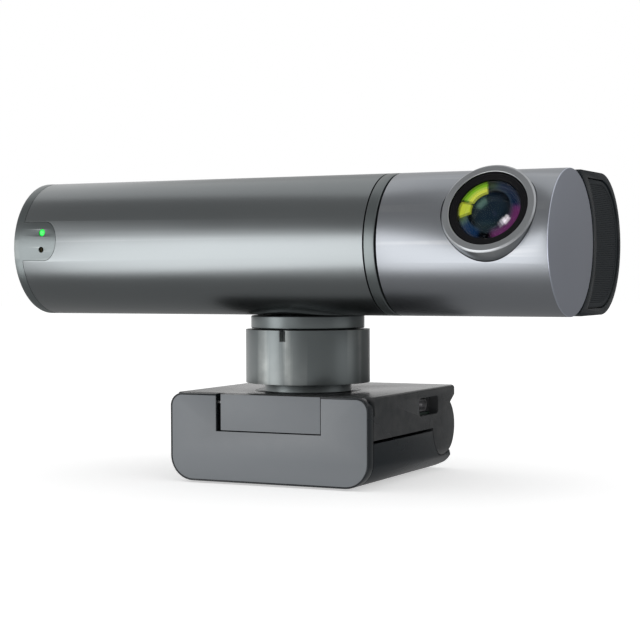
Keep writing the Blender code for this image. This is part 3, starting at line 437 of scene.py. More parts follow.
# %% Plastics, rubber and the circuit board
base_plastic = finish("base_plastic", (0.007, 0.0105, 0.0135), 0.27, 0.0, 2800, 0.15, 0.06, 0.12,
                      wear=0.15, worn=(0.06, 0.06, 0.06), Specular_IOR_Level=0.26)
inner_plastic = finish("inner_plastic", (0.012, 0.012, 0.013), 0.45, 0.0, 2000, 0.1, 0.08, 0.15, dust=0)
grille_plastic = finish("grille_plastic", (0.018, 0.0215, 0.0245), 0.5, 0.0, 2500, 0.15, 0.1, 0.2,
                        Specular_IOR_Level=0.12)
rubber = finish("pad_rubber", (0.018, 0.018, 0.019), 0.75, 0.0, 1200, 0.3, 0.15, 0.5, dust=0.12)
board_green = finish("board_green", (0.005, 0.022, 0.012), 0.45, 0.0, 500, 0.5, 0.1, 0.3,
                     stretch=(1, 8, 1), dust=0)

# %% [markdown]
# The lens is several pieces of coated glass. The lamps' reflections in its coatings are painted
# on the front glass as a glow: arcs of green, blue and magenta along the rim, and a painted white
# highlight. An arc is a ring between two radii, cut to a sector round the lens axis. One group
# makes that mask, and the glass uses it for each arc.

# %% Arc mask on the lens
def make_arc_mask():
    group, given, out = new_group(
        "painted_reflection_arc",
        [("Angle", "Float", 0.0), ("Half Width", "Float", 30.0), ("Inner", "Float", 5.0),
         ("Outer", "Float", 7.0), ("Soft", "Float", 0.3)], [("Mask", "Float")])
    calc = maths(group)
    place = add(group, "ShaderNodeTexCoord").outputs["Object"]
    split = add(group, "ShaderNodeSeparateXYZ", {0: place}).outputs
    # Both coordinates on the lens are in millimetres: across it, and up its tilted face.
    across = calc("MULTIPLY", calc("SUBTRACT", split["X"], LENS_X), 1 / MM)
    deep = calc("MULTIPLY", calc("SUBTRACT", split["Y"], TILT_Y), sin(LENS_UP) / MM)
    high = calc("MULTIPLY", calc("SUBTRACT", split["Z"], TILT_Z), cos(LENS_UP) / MM)
    upward = calc("ADD", deep, high)
    reach = calc("SQRT", calc("MULTIPLY_ADD", across, across, calc("MULTIPLY", upward, upward)))
    turn = calc("RADIANS", given["Angle"])
    toward = calc("MULTIPLY_ADD", across, calc("COSINE", turn),
                  calc("MULTIPLY", upward, calc("SINE", turn)))
    part = calc("DIVIDE", toward, calc("MAXIMUM", reach, 0.001))
    apart = calc("DEGREES", calc("ARCCOSINE", calc("MINIMUM", part, 1.0)))

    def step(value, edge, width):
        """0 below the edge and 1 above it, with a smooth change this wide to each side."""
        links = {"Value": value, "From Min": calc("SUBTRACT", edge, width),
                 "From Max": calc("ADD", edge, width)}
        return add(group, "ShaderNodeMapRange", links, interpolation_type="SMOOTHSTEP").outputs[0]

    soft = given["Soft"]
    ring = calc("SUBTRACT", step(reach, given["Inner"], soft), step(reach, given["Outer"], soft))
    sector = calc("SUBTRACT", 1.0, step(apart, given["Half Width"], calc("MULTIPLY", soft, 8.0)))
    group.links.new(calc("MULTIPLY", calc("MAXIMUM", ring, 0.0), sector), out["Mask"])
    return group


PAINTED_ARC = make_arc_mask()
# Painted reflections of the lamps in the coatings, and a painted white highlight, which glow on the front
# glass.
# Angle and half width in degrees, inner and outer radius and softness in millimetres, then the colour.
PAINTED_LENS_REFLECTIONS = (
    (130, 28, 6.1, 7.6, 0.1, (0.16, 0.36, 0.015)),
    (130, 28, 4.4, 6.1, 0.1, (0.5, 0.55, 0.05)),
    (178, 15, 4.4, 7.5, 0.1, (0.42, 0.48, 0.03)),
    (202, 10, 5.6, 7.3, 0.5, (0.035, 0.06, 0.012)),
    (228, 26, 5.6, 7.4, 0.6, (0.004, 0.02, 0.06)),
    (-34, 42, 5.9, 7.9, 0.9, (0.1, 0.02, 0.085)),
    (-30, 10, 5.1, 5.9, 0.25, (0.85, 0.8, 0.84)),
    (-38, 8, 4.8, 5.5, 0.3, (0.5, 0.48, 0.52)),
    (-48, 6, 5.1, 5.6, 0.35, (0.3, 0.28, 0.31)),
    (45, 40, 5.6, 7.5, 0.7, (0.003, 0.01, 0.03)),
    (88, 10, 5.5, 7.2, 0.6, (0.015, 0.03, 0.01)),
    (0, 181, 5.35, 5.85, 0.15, (0.012, 0.02, 0.026)),
    (143, 34, 1.6, 3.0, 1.0, (0.06, 0.12, 0.09)),
    (-35, 9, 1.9, 2.6, 0.2, (0.02, 0.02, 0.04)),
    (0, 181, 0.0, 4.2, 1.2, (0.001, 0.005, 0.012)))


# %% Glass with painted reflections, coatings and the lamp
def glass_with_painted_reflections():
    made = finish("front_glass", (1, 1, 1), 0.015, 0.0, 300, 0.01, 0.01, 0.0, dust=0,
                  IOR=1.1, Transmission_Weight=1.0, Emission_Strength=0.5)
    tree = made.node_tree
    glow = None
    # The glass glows with each painted reflection and the painted highlight from the table above.
    for *arc_values, colour in PAINTED_LENS_REFLECTIONS:
        mask = add(tree, "ShaderNodeGroup", dict(enumerate(arc_values)), node_tree=PAINTED_ARC)
        painted_reflection = scaled(tree, colour, mask.outputs[0])
        glow = painted_reflection if glow is None else add(tree, "ShaderNodeVectorMath", {0: glow, 1: painted_reflection}).outputs[0]
    tree.links.new(glow, tree.nodes["Principled BSDF"].inputs["Emission Color"])
    return made


front_glass = glass_with_painted_reflections()
green_coat = finish("green_coat", (0.002, 0.003, 0.005), 0.05, 0.0, 400, 0.1, 0.01, 0.0, dust=0,
                    IOR=1.22, Specular_Tint=(0.3, 0.6, 0.6, 1))
violet_coat = finish("violet_coat", (0.003, 0.003, 0.008), 0.08, 0.0, 400, 0.1, 0.01, 0.0, dust=0,
                     IOR=1.25, Specular_Tint=(0.6, 0.3, 0.8, 1))
lens_black = finish("lens_black", (0.004, 0.004, 0.005), 0.36, 0.0, 1500, 0.1, 0.06, 0.1, dust=0,
                    Specular_IOR_Level=0.12)
lamp_green = finish("lamp_green", (0.02, 0.55, 0.08), 0.3, 0.0, 900, 0.1, 0.05, 0.05, dust=0,
                    Emission_Color=(0.01, 0.72, 0.05, 1), Emission_Strength=0.7)

SLOT_FINISH = {
    "base_plastic": base_plastic, "inner_plastic": inner_plastic, "flap_metal": flap_metal,
    "rubber": rubber,
    "steel": steel, "heat_sink_metal": sink_metal, "board": board_green, "trim_metal": trim_metal,
    "sleeve_metal": sleeve_metal, "head_metal": head_metal, "grille": grille_plastic, "lamp": lamp_green,
    "brass": brass, "lens_glass": front_glass}
slot_of = {row["node"]: row["material_slot"] for row in frame["record"]["subparts"]}
for name, node in frame["nodes"].items():
    node.data.materials.clear()
    node.data.materials.append(SLOT_FINISH[slot_of[name]])
print(len(SLOT_FINISH), "finishes on", len(frame["nodes"]), "packed pieces")

# %% [markdown]
# ## The bar, from one rule
#
# Sleeve, cap, ring and rear shell all have the same section: two half circles joined by flats.
# That is a rule, so Geometry Nodes makes it: a circle whose back half is pushed away by the
# span, filled and pulled to a length. One tree then serves every piece of the bar.

# %% Geometry Nodes helpers
def new_tree(name, inputs):
    geometry = [("Geometry", "Geometry")]
    return new_group(name, geometry + inputs + [("Finish", "Material")], geometry, "GeometryNodeTree")


def geo(tree, kind, links=None, **settings):
    """The first output of a geometry node, which is what the next node needs."""
    return add(tree, "GeometryNode" + kind, links, **settings).outputs[0]


def vector(tree, **parts):
    return add(tree, "ShaderNodeCombineXYZ", parts).outputs[0]


def position(tree):
    """The X, Y and Z of each point, as separate sockets."""
    return add(tree, "ShaderNodeSeparateXYZ", {0: geo(tree, "InputPosition")}).outputs


def end_tree(tree, given, out, shape, weld=0.0):
    """Ends a tree with real geometry and its material, because the export drops instances."""
    shape = geo(tree, "RealizeInstances", {0: shape})
    if weld:
        shape = geo(tree, "MergeByDistance", {"Geometry": shape, "Distance": weld})
    last = geo(tree, "SetMaterial", {"Geometry": shape, "Material": given["Finish"]})
    tree.links.new(last, out[0])
    return tree


def grow(name, tree, **values):
    """Runs a tree on an empty mesh and keeps the result as a plain mesh."""
    item = bpy.data.objects.new(name, bpy.data.meshes.new(name))
    bpy.context.scene.collection.objects.link(item)
    step = item.modifiers.new("Nodes", "NODES")
    step.node_group = tree
    for socket in tree.interface.items_tree:
        if socket.item_type == "SOCKET" and socket.in_out == "INPUT" and socket.name in values:
            step[socket.identifier] = values[socket.name]
    item.update_tag()
    return bake(item)


# %% The bar tree
def make_bar_tree():
    tree, given, out = new_tree("body_bar", [
        ("Radius", "Float", BODY_R), ("Span", "Float", BODY_SPAN), ("Length", "Float", 0.01),
        ("Facets", "Int", 160)])
    circle = geo(tree, "CurvePrimitiveCircle", {"Resolution": given["Facets"], "Radius": given["Radius"]})
    # Half a step of turn puts no point on the line between the halves.
    turn = vector(tree, Z=maths(tree)("DIVIDE", pi, given["Facets"]))
    level = geo(tree, "Transform", {"Geometry": circle, "Rotation": turn})
    behind = add(tree, "FunctionNodeCompare", {0: position(tree)["X"], 1: 0.0}, operation="GREATER_THAN")
    outline = geo(tree, "SetPosition", {"Geometry": level, "Selection": behind.outputs[0],
                                        "Offset": vector(tree, X=given["Span"])})
    face = geo(tree, "FillCurve", {0: outline}, mode="NGONS")
    pulled = geo(tree, "ExtrudeMesh", {"Mesh": face, "Offset Scale": given["Length"], "Individual": False},
                 mode="FACES")
    both = add(tree, "GeometryNodeJoinGeometry")
    tree.links.new(pulled, both.inputs[0])
    tree.links.new(geo(tree, "FlipFaces", {0: face}), both.inputs[0])
    return end_tree(tree, given, out, both.outputs[0], 1e-6)


BAR_TREE = make_bar_tree()
# The tree's X, Y and Z become the model's Y, Z and X.
BAR_TURN = Matrix(((0, 0, 1), (1, 0, 0), (0, 1, 0))).to_4x4()


def bar(name, radius, start, end, facets=160):
    item = grow(name, BAR_TREE, Radius=radius, Span=BODY_SPAN, Length=end - start, Facets=facets)
    item.data.transform(Matrix.Translation((start, TILT_Y, TILT_Z)) @ BAR_TURN)
    with edit(item) as bm:
        bmesh.ops.recalc_face_normals(bm, faces=bm.faces)
    return item


test_bar = bar("test_bar", BODY_R, 0, 0.01)
print("bar section:", len(test_bar.data.vertices), "vertices,", len(test_bar.data.polygons), "faces")
drop(test_bar)

# %% [markdown]
# ## Sleeve, cap and seam ring
#
# The long sleeve is an extrusion with a thin wall. The left cap's tab lies in a cut in its front
# and holds the status lamp and the microphone. A narrow ring in the trim colour closes the
# sleeve at the lens end.

# %% The tab's outline, shared by the cap and the sleeve
TAB_LENGTH = 10.9 * MM
TAB_ROUND = 4.0 * MM
TAB_TOP_ANGLE, TAB_BOTTOM_ANGLE = 22.5, -11.0


def on_tube(angle, radius=BODY_R):
    turn = radians(angle)
    return TILT_Y - radius * cos(turn), TILT_Z + radius * sin(turn)


def tab_outline(margin):
    high = on_tube(TAB_TOP_ANGLE)[1] + margin
    low = on_tube(TAB_BOTTOM_ANGLE)[1] - margin
    half = (high - low) / 2
    reach = TAB_ROUND + margin
    centre = CAP_RIGHT + TAB_LENGTH - TAB_ROUND, low + half
    end = [(centre[0] + reach * a, centre[1] + half * b) for a, b in arc((0, 0), 1, -90, 90, 32)]
    start = CAP_RIGHT - 0.5 * MM
    return [(start, low)] + end + [(start, high)]


# %% Sleeve
sleeve = bar("sleeve", BODY_R, sleeve_low.x - 0.2 * MM, sleeve_high.x)
boolean(sleeve, bar("sleeve_room", BODY_R - WALL, sleeve_low.x - OVER, sleeve_high.x + OVER, 128))
boolean(sleeve, prism("tab_room", tab_outline(0.09 * MM), "Y", TILT_Y - BODY_R - OVER, TILT_Y - BODY_R / 2))
soften(sleeve, 0.08 * MM)
fit(sleeve, "camera_body", "sleeve_metal", sleeve_metal, "body_sleeve")
print("sleeve", len(sleeve.data.polygons), "faces")

# %% Left cap with its tab, and the lamp and microphone holes
cap = bar("left_cap", BODY_R, cap_low.x, CAP_RIGHT)
tab = bar("tab", BODY_R, CAP_RIGHT - 0.2 * MM, CAP_RIGHT + TAB_LENGTH + OVER)
boolean(tab, bar("tab_back", BODY_R - WALL, CAP_RIGHT - OVER, CAP_RIGHT + TAB_LENGTH + 3 * OVER, 128))
boolean(tab, prism("tab_shape", tab_outline(0), "Y", TILT_Y - BODY_R - OVER, TILT_Y - BODY_R / 2),
        operation="INTERSECT")
bake(tab)
boolean(cap, tab, operation="UNION")
boolean(cap, bar("cap_seat", BODY_R - GRILLE_BORDER, cap_low.x - OVER, cap_low.x + GRILLE_DEPTH, 128))
LAMP_ANGLE, LAMP_HOLE_R = 12.9, 1.0 * MM
MIC_ANGLE, MIC_HOLE_R = -1.7, 0.8 * MM
lamp_x = CAP_RIGHT + 6.3 * MM
lamp_y, lamp_z = on_tube(LAMP_ANGLE)
mic_z = on_tube(MIC_ANGLE)[1]
for label, radius, height in (("lamp_hole", LAMP_HOLE_R, lamp_z), ("mic_hole", MIC_HOLE_R, mic_z)):
    boolean(cap, rod(label, radius, "Y", (lamp_x, 0, height), TILT_Y - BODY_R - OVER, TILT_Y - 12 * MM, 32))
soften(cap, 0.08 * MM)
fit(cap, "camera_body", "trim_metal", trim_metal, "left_end_cap")
print("cap", len(cap.data.polygons), "faces")

# %% Status lamp and seam ring
lamp_front = lamp_y + 0.02 * MM
lamp_profile = [(0, 0), (0.55 * MM, 0.03 * MM), (0.85 * MM, 0.12 * MM), (0.95 * MM, 0.26 * MM),
                (0.95 * MM, 3.0 * MM), (0, 3.0 * MM)]
lamp = turned("status_light", lamp_profile, "Y", (lamp_x, lamp_front, lamp_z), 32)
soften(lamp, 0)
fit(lamp, "camera_body", "lamp", lamp_green, "status_lamp")

seam = bar("seam_band", BODY_R, ring_low.x + 3.0 * MM, ring_high.x)
soften(seam, 0.18 * MM)
fit(seam, "camera_body", "trim_metal", trim_metal, "seam_ring")
print("lamp and seam ring made")

# %% [markdown]
# ## Linings of the bar
#
# A thin gap between two metal pieces should look dark, not let the studio's light through. In
# the real object a short tube runs under each joint. The same tube is made here, one at the cap
# and one at the seam ring, and joined to the piece that carries it.

# %% Tubes under the joints
def lining(name, start, end):
    tube = bar(name, BODY_R - WALL - GAP, start, end, 128)
    boolean(tube, bar(name + "_room", BODY_R - WALL - 1.5 * MM, start - OVER, end + OVER, 128))
    return bake(tube)


def merge(target, *others):
    """Adds the meshes of other pieces to the target, as one object."""
    with edit(target) as bm:
        for item in others:
            bm.from_mesh(item.data)
    for item in others:
        drop(item)
    return target


merge(cap, lining("cap_lining", CAP_RIGHT - 0.1 * MM, CAP_RIGHT + 3 * MM))
merge(seam, lining("seam_lining", ring_low.x, ring_low.x + 3.1 * MM))
print("linings joined to the cap and the ring")

# %% [markdown]
# ## Rear shell and the head's pocket
#
# The rear shell stays still while the head turns in front of it. Its section is the bar's, less
# a round pocket on the tilt axis, and less all that would stand in front of the head.

# %% Rear shell
LIP_Y = TILT_Y + 7.5 * MM
AXIS = (0, TILT_Y, TILT_Z)


def behind(name, radius, clear, start, end):
    """Body section at this radius, less a round bar on the tilt axis and all before the lip."""
    shape = bar(name, radius, start, end)
    boolean(shape, rod(name + "_bar", clear, "X", AXIS, start - OVER, end + OVER, 160))
    low = (start - 2 * OVER, TILT_Y - 2 * BODY_R, TILT_Z - 2 * BODY_R)
    boolean(shape, block(name + "_ahead", low, (end + 2 * OVER, LIP_Y, TILT_Z + 2 * BODY_R)))
    return bake(shape)


shell = behind("back_shell", BODY_R, POCKET_R, rear_low.x, rear_high.x)
boolean(shell, behind("back_room", BODY_R - WALL, POCKET_R + WALL, rear_low.x - OVER,
                      rear_high.x - 2.5 * MM))
seat = behind("back_seat", BODY_R - GRILLE_BORDER, POCKET_R + RIM, rear_high.x - GRILLE_DEPTH,
              rear_high.x + OVER)
boolean(shell, seat)
soften(shell, 0.2 * MM, 2)
fit(shell, "camera_body", "base_plastic", base_plastic, "rear_shell")
print("rear shell", len(shell.data.polygons), "faces")

# %% [markdown]
# ## Speaker grilles
#
# Behind each end of the bar sits a speaker, so both ends are covered by plates full of small
# holes. One hexagonal tile with a hole repeats on a honeycomb. Geometry Nodes place the tiles,
# keep those whose centres are inside the outline, and weld them into one plate. A flat frame
# hides the jagged border.

# %% The perforated plate's tree
def make_mesh_tree():
    tree, given, out = new_tree("hole_plate", [
        ("Pitch", "Float", 0.001), ("Hole", "Float", 0.55), ("Thickness", "Float", 0.0005),
        ("Radius", "Float", 0.016),
        ("Span", "Float", BODY_SPAN), ("Clear", "Float", 0.0), ("Lip", "Float", -1.0)])
    calc = maths(tree)
    # A grid of points that covers the bar's section, with every second row moved by half a pitch.
    pitch, span, radius = given["Pitch"], given["Span"], given["Radius"]
    row = calc("MULTIPLY", pitch, sqrt(3) / 2)
    tall = calc("MULTIPLY", radius, 2.0)
    counts = [calc("FLOOR", calc("ADD", calc("DIVIDE", size, step), 3.0))
              for size, step in ((calc("ADD", span, tall), pitch), (tall, row))]
    sizes = [calc("MULTIPLY", calc("SUBTRACT", count, 1.0), step) for count,
             step in zip(counts, (pitch, row))]
    grid = geo(tree, "MeshGrid", {"Size X": sizes[0], "Size Y": sizes[1],
                                  "Vertices X": counts[0], "Vertices Y": counts[1]})
    points = geo(tree, "MeshToPoints", {0: grid})
    from_edge = calc("ADD", position(tree)["Y"], calc("DIVIDE", sizes[1], 2.0))
    odd = calc("MODULO", calc("ROUND", calc("DIVIDE", from_edge, row)), 2.0)
    shift = vector(tree, X=calc("MULTIPLY", odd, calc("MULTIPLY", pitch, 0.5)))
    points = geo(tree, "SetPosition", {"Geometry": points, "Offset": shift})
    points = geo(tree, "SetPosition", {"Geometry": points,
                                       "Offset": vector(tree, X=calc("MULTIPLY", span, 0.5))})
    # Points outside the section, inside the head's pocket or before the lip go.
    here = position(tree)
    nearest = calc("MINIMUM", calc("MAXIMUM", here["X"], 0.0), span)

    def length(x, y):
        return calc("SQRT", calc("ADD", calc("MULTIPLY", x, x), calc("MULTIPLY", y, y)))

    outside = calc("GREATER_THAN", length(calc("SUBTRACT", here["X"], nearest), here["Y"]), radius)
    inside = calc("LESS_THAN", length(here["X"], here["Y"]), given["Clear"])
    ahead = calc("LESS_THAN", here["X"], given["Lip"])
    unwanted = calc("GREATER_THAN", calc("ADD", calc("ADD", outside, inside), ahead), 0.5)
    kept = geo(tree, "DeleteGeometry", {"Geometry": points, "Selection": unwanted}, domain="POINT")
    # One tile: a hexagon with a smaller hexagon sunk through it.
    cell = geo(tree, "MeshCircle", {"Vertices": 6, "Radius": calc("DIVIDE", pitch, sqrt(3))},
               fill_type="NGON")
    cell = geo(tree, "Transform", {"Geometry": cell, "Rotation": (0, 0, radians(30))})
    inset = add(tree, "GeometryNodeExtrudeMesh", {"Mesh": cell, "Offset Scale": 0.0}, mode="FACES").outputs
    rim = geo(tree, "ScaleElements", {"Geometry": inset[0], "Selection": inset["Top"],
                                      "Scale": given["Hole"]}, domain="FACE")
    depth = calc("MULTIPLY", given["Thickness"], -1.0)
    sink = add(tree, "GeometryNodeExtrudeMesh",
               {"Mesh": rim, "Selection": inset["Top"], "Offset Scale": depth},
               mode="FACES").outputs
    tile = geo(tree, "DeleteGeometry", {"Geometry": sink[0], "Selection": sink["Top"]}, domain="FACE")
    tiles = geo(tree, "InstanceOnPoints", {"Points": kept, "Instance": tile})
    return end_tree(tree, given, out, tiles, 1e-5)


MESH_TREE = make_mesh_tree()


# %% Both grilles
HOLE_PITCH = 0.55 * MM
PLATE_THICK = 0.45 * MM


def holed_plate(name, radius, clear, lip, x, side):
    """Tiles in the plane of an end face. The side is 1 where it looks along X, and -1 where it looks back."""
    item = grow(name, MESH_TREE, Pitch=HOLE_PITCH, Hole=0.5, Thickness=PLATE_THICK, Radius=radius,
                Span=BODY_SPAN, Clear=clear, Lip=lip)
    item.data.transform(Matrix.Translation((x, TILT_Y, TILT_Z)) @ BAR_TURN)
    if side < 0:
        # The plate is mirrored in its own plane, which turns its faces to the other side.
        with edit(item) as bm:
            for vertex in bm.verts:
                vertex.co.x = 2 * x - vertex.co.x
            bmesh.ops.reverse_faces(bm, faces=bm.faces)
    return item


left_x = cap_low.x + 0.3 * MM
left_frame = bar("left_frame", BODY_R - GRILLE_BORDER - GAP, left_x, left_x + 0.8 * MM)
boolean(left_frame, bar("left_frame_room", BODY_R - GRILLE_BORDER - 1.6 * MM, left_x - OVER, left_x + OVER))
soften(left_frame, 0.1 * MM, 2)
left_plate = holed_plate("left_plate", BODY_R - GRILLE_BORDER - 1.0 * MM, 0.0, -1.0, left_x + 0.12 * MM, -1)
merge(left_frame, left_plate)
fit(left_frame, "camera_body", "grille", grille_plastic, "left_grille")

right_x = rear_high.x - 0.3 * MM
right_frame = behind("right_frame", BODY_R - GRILLE_BORDER - GAP, POCKET_R + RIM + GAP, right_x - 0.8 * MM,
                     right_x)
boolean(right_frame, behind("right_frame_room", BODY_R - GRILLE_BORDER - 1.3 * MM,
                            POCKET_R + RIM + 1.3 * MM, right_x - 2 * OVER, right_x + OVER))
soften(right_frame, 0.1 * MM, 2)
right_plate = holed_plate("right_plate", BODY_R - GRILLE_BORDER - 0.9 * MM, POCKET_R + RIM + 0.9 * MM,
                          LIP_Y - TILT_Y, right_x - 0.12 * MM, 1)
merge(right_frame, right_plate)
fit(right_frame, "camera_body", "grille", grille_plastic, "right_grille")
print("grilles:", len(left_frame.data.polygons), "and", len(right_frame.data.polygons), "faces")

# %% [markdown]
# ## Lens head
#
# The head is a round barrel in a lighter metal. A flat disc closes its right end. The lens sits
# in a short ring that stands across the barrel, tilted up, so its lower edge rises out of the
# curved surface and its side shows there as a dark skirt.

# %% Barrel and end disc
BARREL_END = disc_high.x - 0.3 * MM
RIM_STEP = BODY_R - 0.9 * MM
barrel_outline = [(BODY_R - WALL, head_low.x), (BODY_R, head_low.x), (BODY_R, BARREL_END),
                  (RIM_STEP, BARREL_END),
                  (RIM_STEP, head_high.x), (BODY_R - WALL, head_high.x)]
barrel = turned("head_barrel", barrel_outline, "X", AXIS, 192)
boolean(barrel, turned("lens_hole", [(0, 0), (BEZEL_R + 0.15 * MM, 0),
                                     (BEZEL_R + 0.15 * MM, BODY_R + 5 * MM), (0, BODY_R + 5 * MM)],
                       matrix=LENS_FRAME, steps=128))
soften(barrel, 0.05 * MM, 2)
fit(barrel, "lens_head", "head_metal", head_metal, "head_shell")

plug_r = BODY_R - WALL - GAP
disc_seat = RIM_STEP - 0.02 * MM
disc_outline = [(0, disc_low.x), (plug_r, disc_low.x), (plug_r, disc_low.x + 1.6 * MM),
                (disc_seat, disc_low.x + 1.6 * MM), (disc_seat, BARREL_END + 0.03 * MM),
                (BODY_R, BARREL_END + 0.03 * MM),
                (BODY_R, disc_high.x - 0.12 * MM), (BODY_R - 0.12 * MM, disc_high.x), (0, disc_high.x)]
disc = turned("head_disc", disc_outline, "X", AXIS, 192)
soften(disc, 0.04 * MM, 2, 25)
fit(disc, "lens_head", "head_metal", disc_metal, "head_end_disc")
print("head", len(barrel.data.polygons), "faces; disc", len(disc.data.polygons), "faces")

# %% Lens ring, black trim with its steps, and the glasses
BEZEL_SEAT = LENS_FACE - 5.6 * MM
bezel_outline = [(BEZEL_BORE, BEZEL_SEAT), (BEZEL_R, BEZEL_SEAT), (BEZEL_R, LENS_FACE - 0.45 * MM),
                 (BEZEL_R - 0.45 * MM, LENS_FACE), (BEZEL_BORE + 0.1 * MM, LENS_FACE),
                 (BEZEL_BORE, LENS_FACE - 0.1 * MM)]
bezel = turned("lens_ring", bezel_outline, matrix=LENS_FRAME, steps=160)
soften(bezel, 0.06 * MM, 3, 20)
fit(bezel, "lens_head", "trim_metal", bezel_metal, "lens_bezel")

TRIM_TOP = LENS_FACE - 0.34 * MM
TRIM_OUT = BEZEL_BORE - 0.1 * MM
TRIM_BORE = 7.9 * MM
trim_outline = [(TRIM_BORE, TRIM_TOP - 2.0 * MM), (TRIM_OUT, TRIM_TOP - 2.0 * MM),
                (TRIM_OUT, TRIM_TOP - 0.1 * MM),
                (TRIM_OUT - 0.1 * MM, TRIM_TOP)]
STEPS = 3
STEP_WIDE = (TRIM_OUT - 0.4 * MM - TRIM_BORE) / STEPS
for i in range(STEPS):
    r = TRIM_OUT - 0.4 * MM - i * STEP_WIDE
    trim_outline += [(r, TRIM_TOP - 0.1 * MM * i), (r - 0.05 * MM, TRIM_TOP - 0.1 * MM * (i + 1))]
trim_outline += [(TRIM_BORE, TRIM_TOP - 0.32 * MM)]
trim = turned("lens_steps", trim_outline, matrix=LENS_FRAME, steps=160)
soften(trim, 0.03 * MM, 2, 25)
fit(trim, "lens_head", "inner_plastic", lens_black, "lens_trim")


def dome_points(radius, curve, edge, steps=24):
    """A dome's profile from its edge to its crown."""
    rise = sqrt(curve ** 2 - radius ** 2)
    radii = [radius * cos(pi / 2 * i / steps) for i in range(steps)] + [0]
    return [(r, edge + sqrt(curve ** 2 - r ** 2) - rise) for r in radii]


GLASS_R = TRIM_BORE - 0.15 * MM
GLASS_EDGE = TRIM_TOP - 0.6 * MM
outer_face = dome_points(GLASS_R, 26 * MM, GLASS_EDGE)
inner_face = [(r, h) for r, h in reversed(dome_points(GLASS_R - 0.5 * MM, 30 * MM, GLASS_EDGE - 1.0 * MM))]
glass = turned("front_element", inner_face + [(GLASS_R, GLASS_EDGE - 1.0 * MM)] + outer_face,
               matrix=LENS_FRAME, steps=128)
soften(glass, 0)
fit(glass, "lens_head", "lens_glass", front_glass, "front_lens")


# %% The coated elements and the black tube that shows behind the front glass
def element(name, radius, curve, edge, node, finish_used):
    outline = [(0, edge - 1.0 * MM), (radius, edge - 1.0 * MM)] + dome_points(radius, curve, edge)
    item = turned(name, outline, matrix=LENS_FRAME, steps=112)
    soften(item, 0)
    return fit(item, "lens_head", "lens_glass", finish_used, node)


element("second_element", 6.2 * MM, 9 * MM, GLASS_EDGE - 2.6 * MM, "middle_lens", green_coat)
element("third_element", 6.0 * MM, 15 * MM, GLASS_EDGE - 8.2 * MM, "rear_lens", violet_coat)

tube_top = GLASS_EDGE - 1.75 * MM
tube_outline = [(6.35 * MM, 1.2 * MM), (9.2 * MM, 1.2 * MM), (9.2 * MM, tube_top), (7.5 * MM, tube_top),
                (6.9 * MM, tube_top - 0.3 * MM),
                (6.9 * MM, tube_top - 0.9 * MM), (6.35 * MM, tube_top - 1.1 * MM)]
tube = turned("lens_tube", tube_outline, matrix=LENS_FRAME, steps=112)
soften(tube, 0.05 * MM, 2)
fit(tube, "lens_head", "inner_plastic", lens_black, "lens_barrel")
print("lens pieces made")

# %% [markdown]
# ## The column
#
# From the base up: a thin flange, a narrow neck, the tall collar that holds the motor, and the
# ring that turns with the body. The collar's small notch at the front marks where straight
# ahead is. They are all turned parts, so each is a profile round the Z axis.

# %% Neck, collar and pan ring
neck_low, neck_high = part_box("neck")
collar_low, collar_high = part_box("pan_collar")
pan_low, pan_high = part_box("pan_ring")
COLLAR_R = collar_high.x
PAN_R = pan_high.x
pan_face = collar_high.z + GAP
pan_top = sleeve_low.z - GAP
base_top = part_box("base_cover")[1].z
flange_r = neck_high.x

neck_outline = [(5 * MM, neck_low.z), (8 * MM, neck_low.z), (8 * MM, base_top - 0.6 * MM),
                (flange_r, base_top - 0.6 * MM),
                (flange_r, base_top), (11.6 * MM, base_top), (11.6 * MM, neck_high.z),
                (5 * MM, neck_high.z)]
neck = turned("column_neck", neck_outline, "Z", (0, 0, 0), 128)
soften(neck, 0.15 * MM, 2)
fit(neck, "base", "trim_metal", trim_metal, "neck")

floor_z = collar_low.z
inner_r = COLLAR_R - 3 * MM
cup = [(5 * MM, floor_z), (COLLAR_R, floor_z), (COLLAR_R, collar_high.z), (inner_r, collar_high.z),
       (inner_r, floor_z + 2 * MM),
       (5 * MM, floor_z + 2 * MM)]
collar = turned("column_collar", cup, "Z", (0, 0, 0), 192)
notch_x, notch_half, notch_depth = 0.8 * MM, 0.82 * MM, 2.85 * MM
boolean(collar, block("collar_notch", (notch_x - notch_half, -COLLAR_R - OVER, collar_high.z - notch_depth),
                      (notch_x + notch_half, -inner_r - 0.8 * MM, collar_high.z + OVER)))
soften(collar, 0.22 * MM, 4)
fit(collar, "base", "trim_metal", trim_metal, "pan_collar")

spin_outline = [(1.8 * MM, pan_low.z), (12.8 * MM, pan_low.z), (12.8 * MM, pan_face), (PAN_R, pan_face),
                (PAN_R, pan_top),
                (9.7 * MM, pan_top), (9.7 * MM, pan_high.z), (1.8 * MM, pan_high.z)]
spin = turned("turning_ring", spin_outline, "Z", (0, 0, 0), 192)
soften(spin, 0.3 * MM, 4)
fit(spin, "camera_body", "trim_metal", trim_metal, "pan_ring")
print("column", len(neck.data.polygons), len(collar.data.polygons), len(spin.data.polygons), "faces")

# %% [markdown]
# ## The folding base
#
# The base is two shells on one hinge at the back: the lower one stands on the table, and the
# upper one carries the column. In front, a grey flap hangs from a pin round a fixed tongue.
# Both shells are side profiles pulled across the width, and the upper one is hollowed.

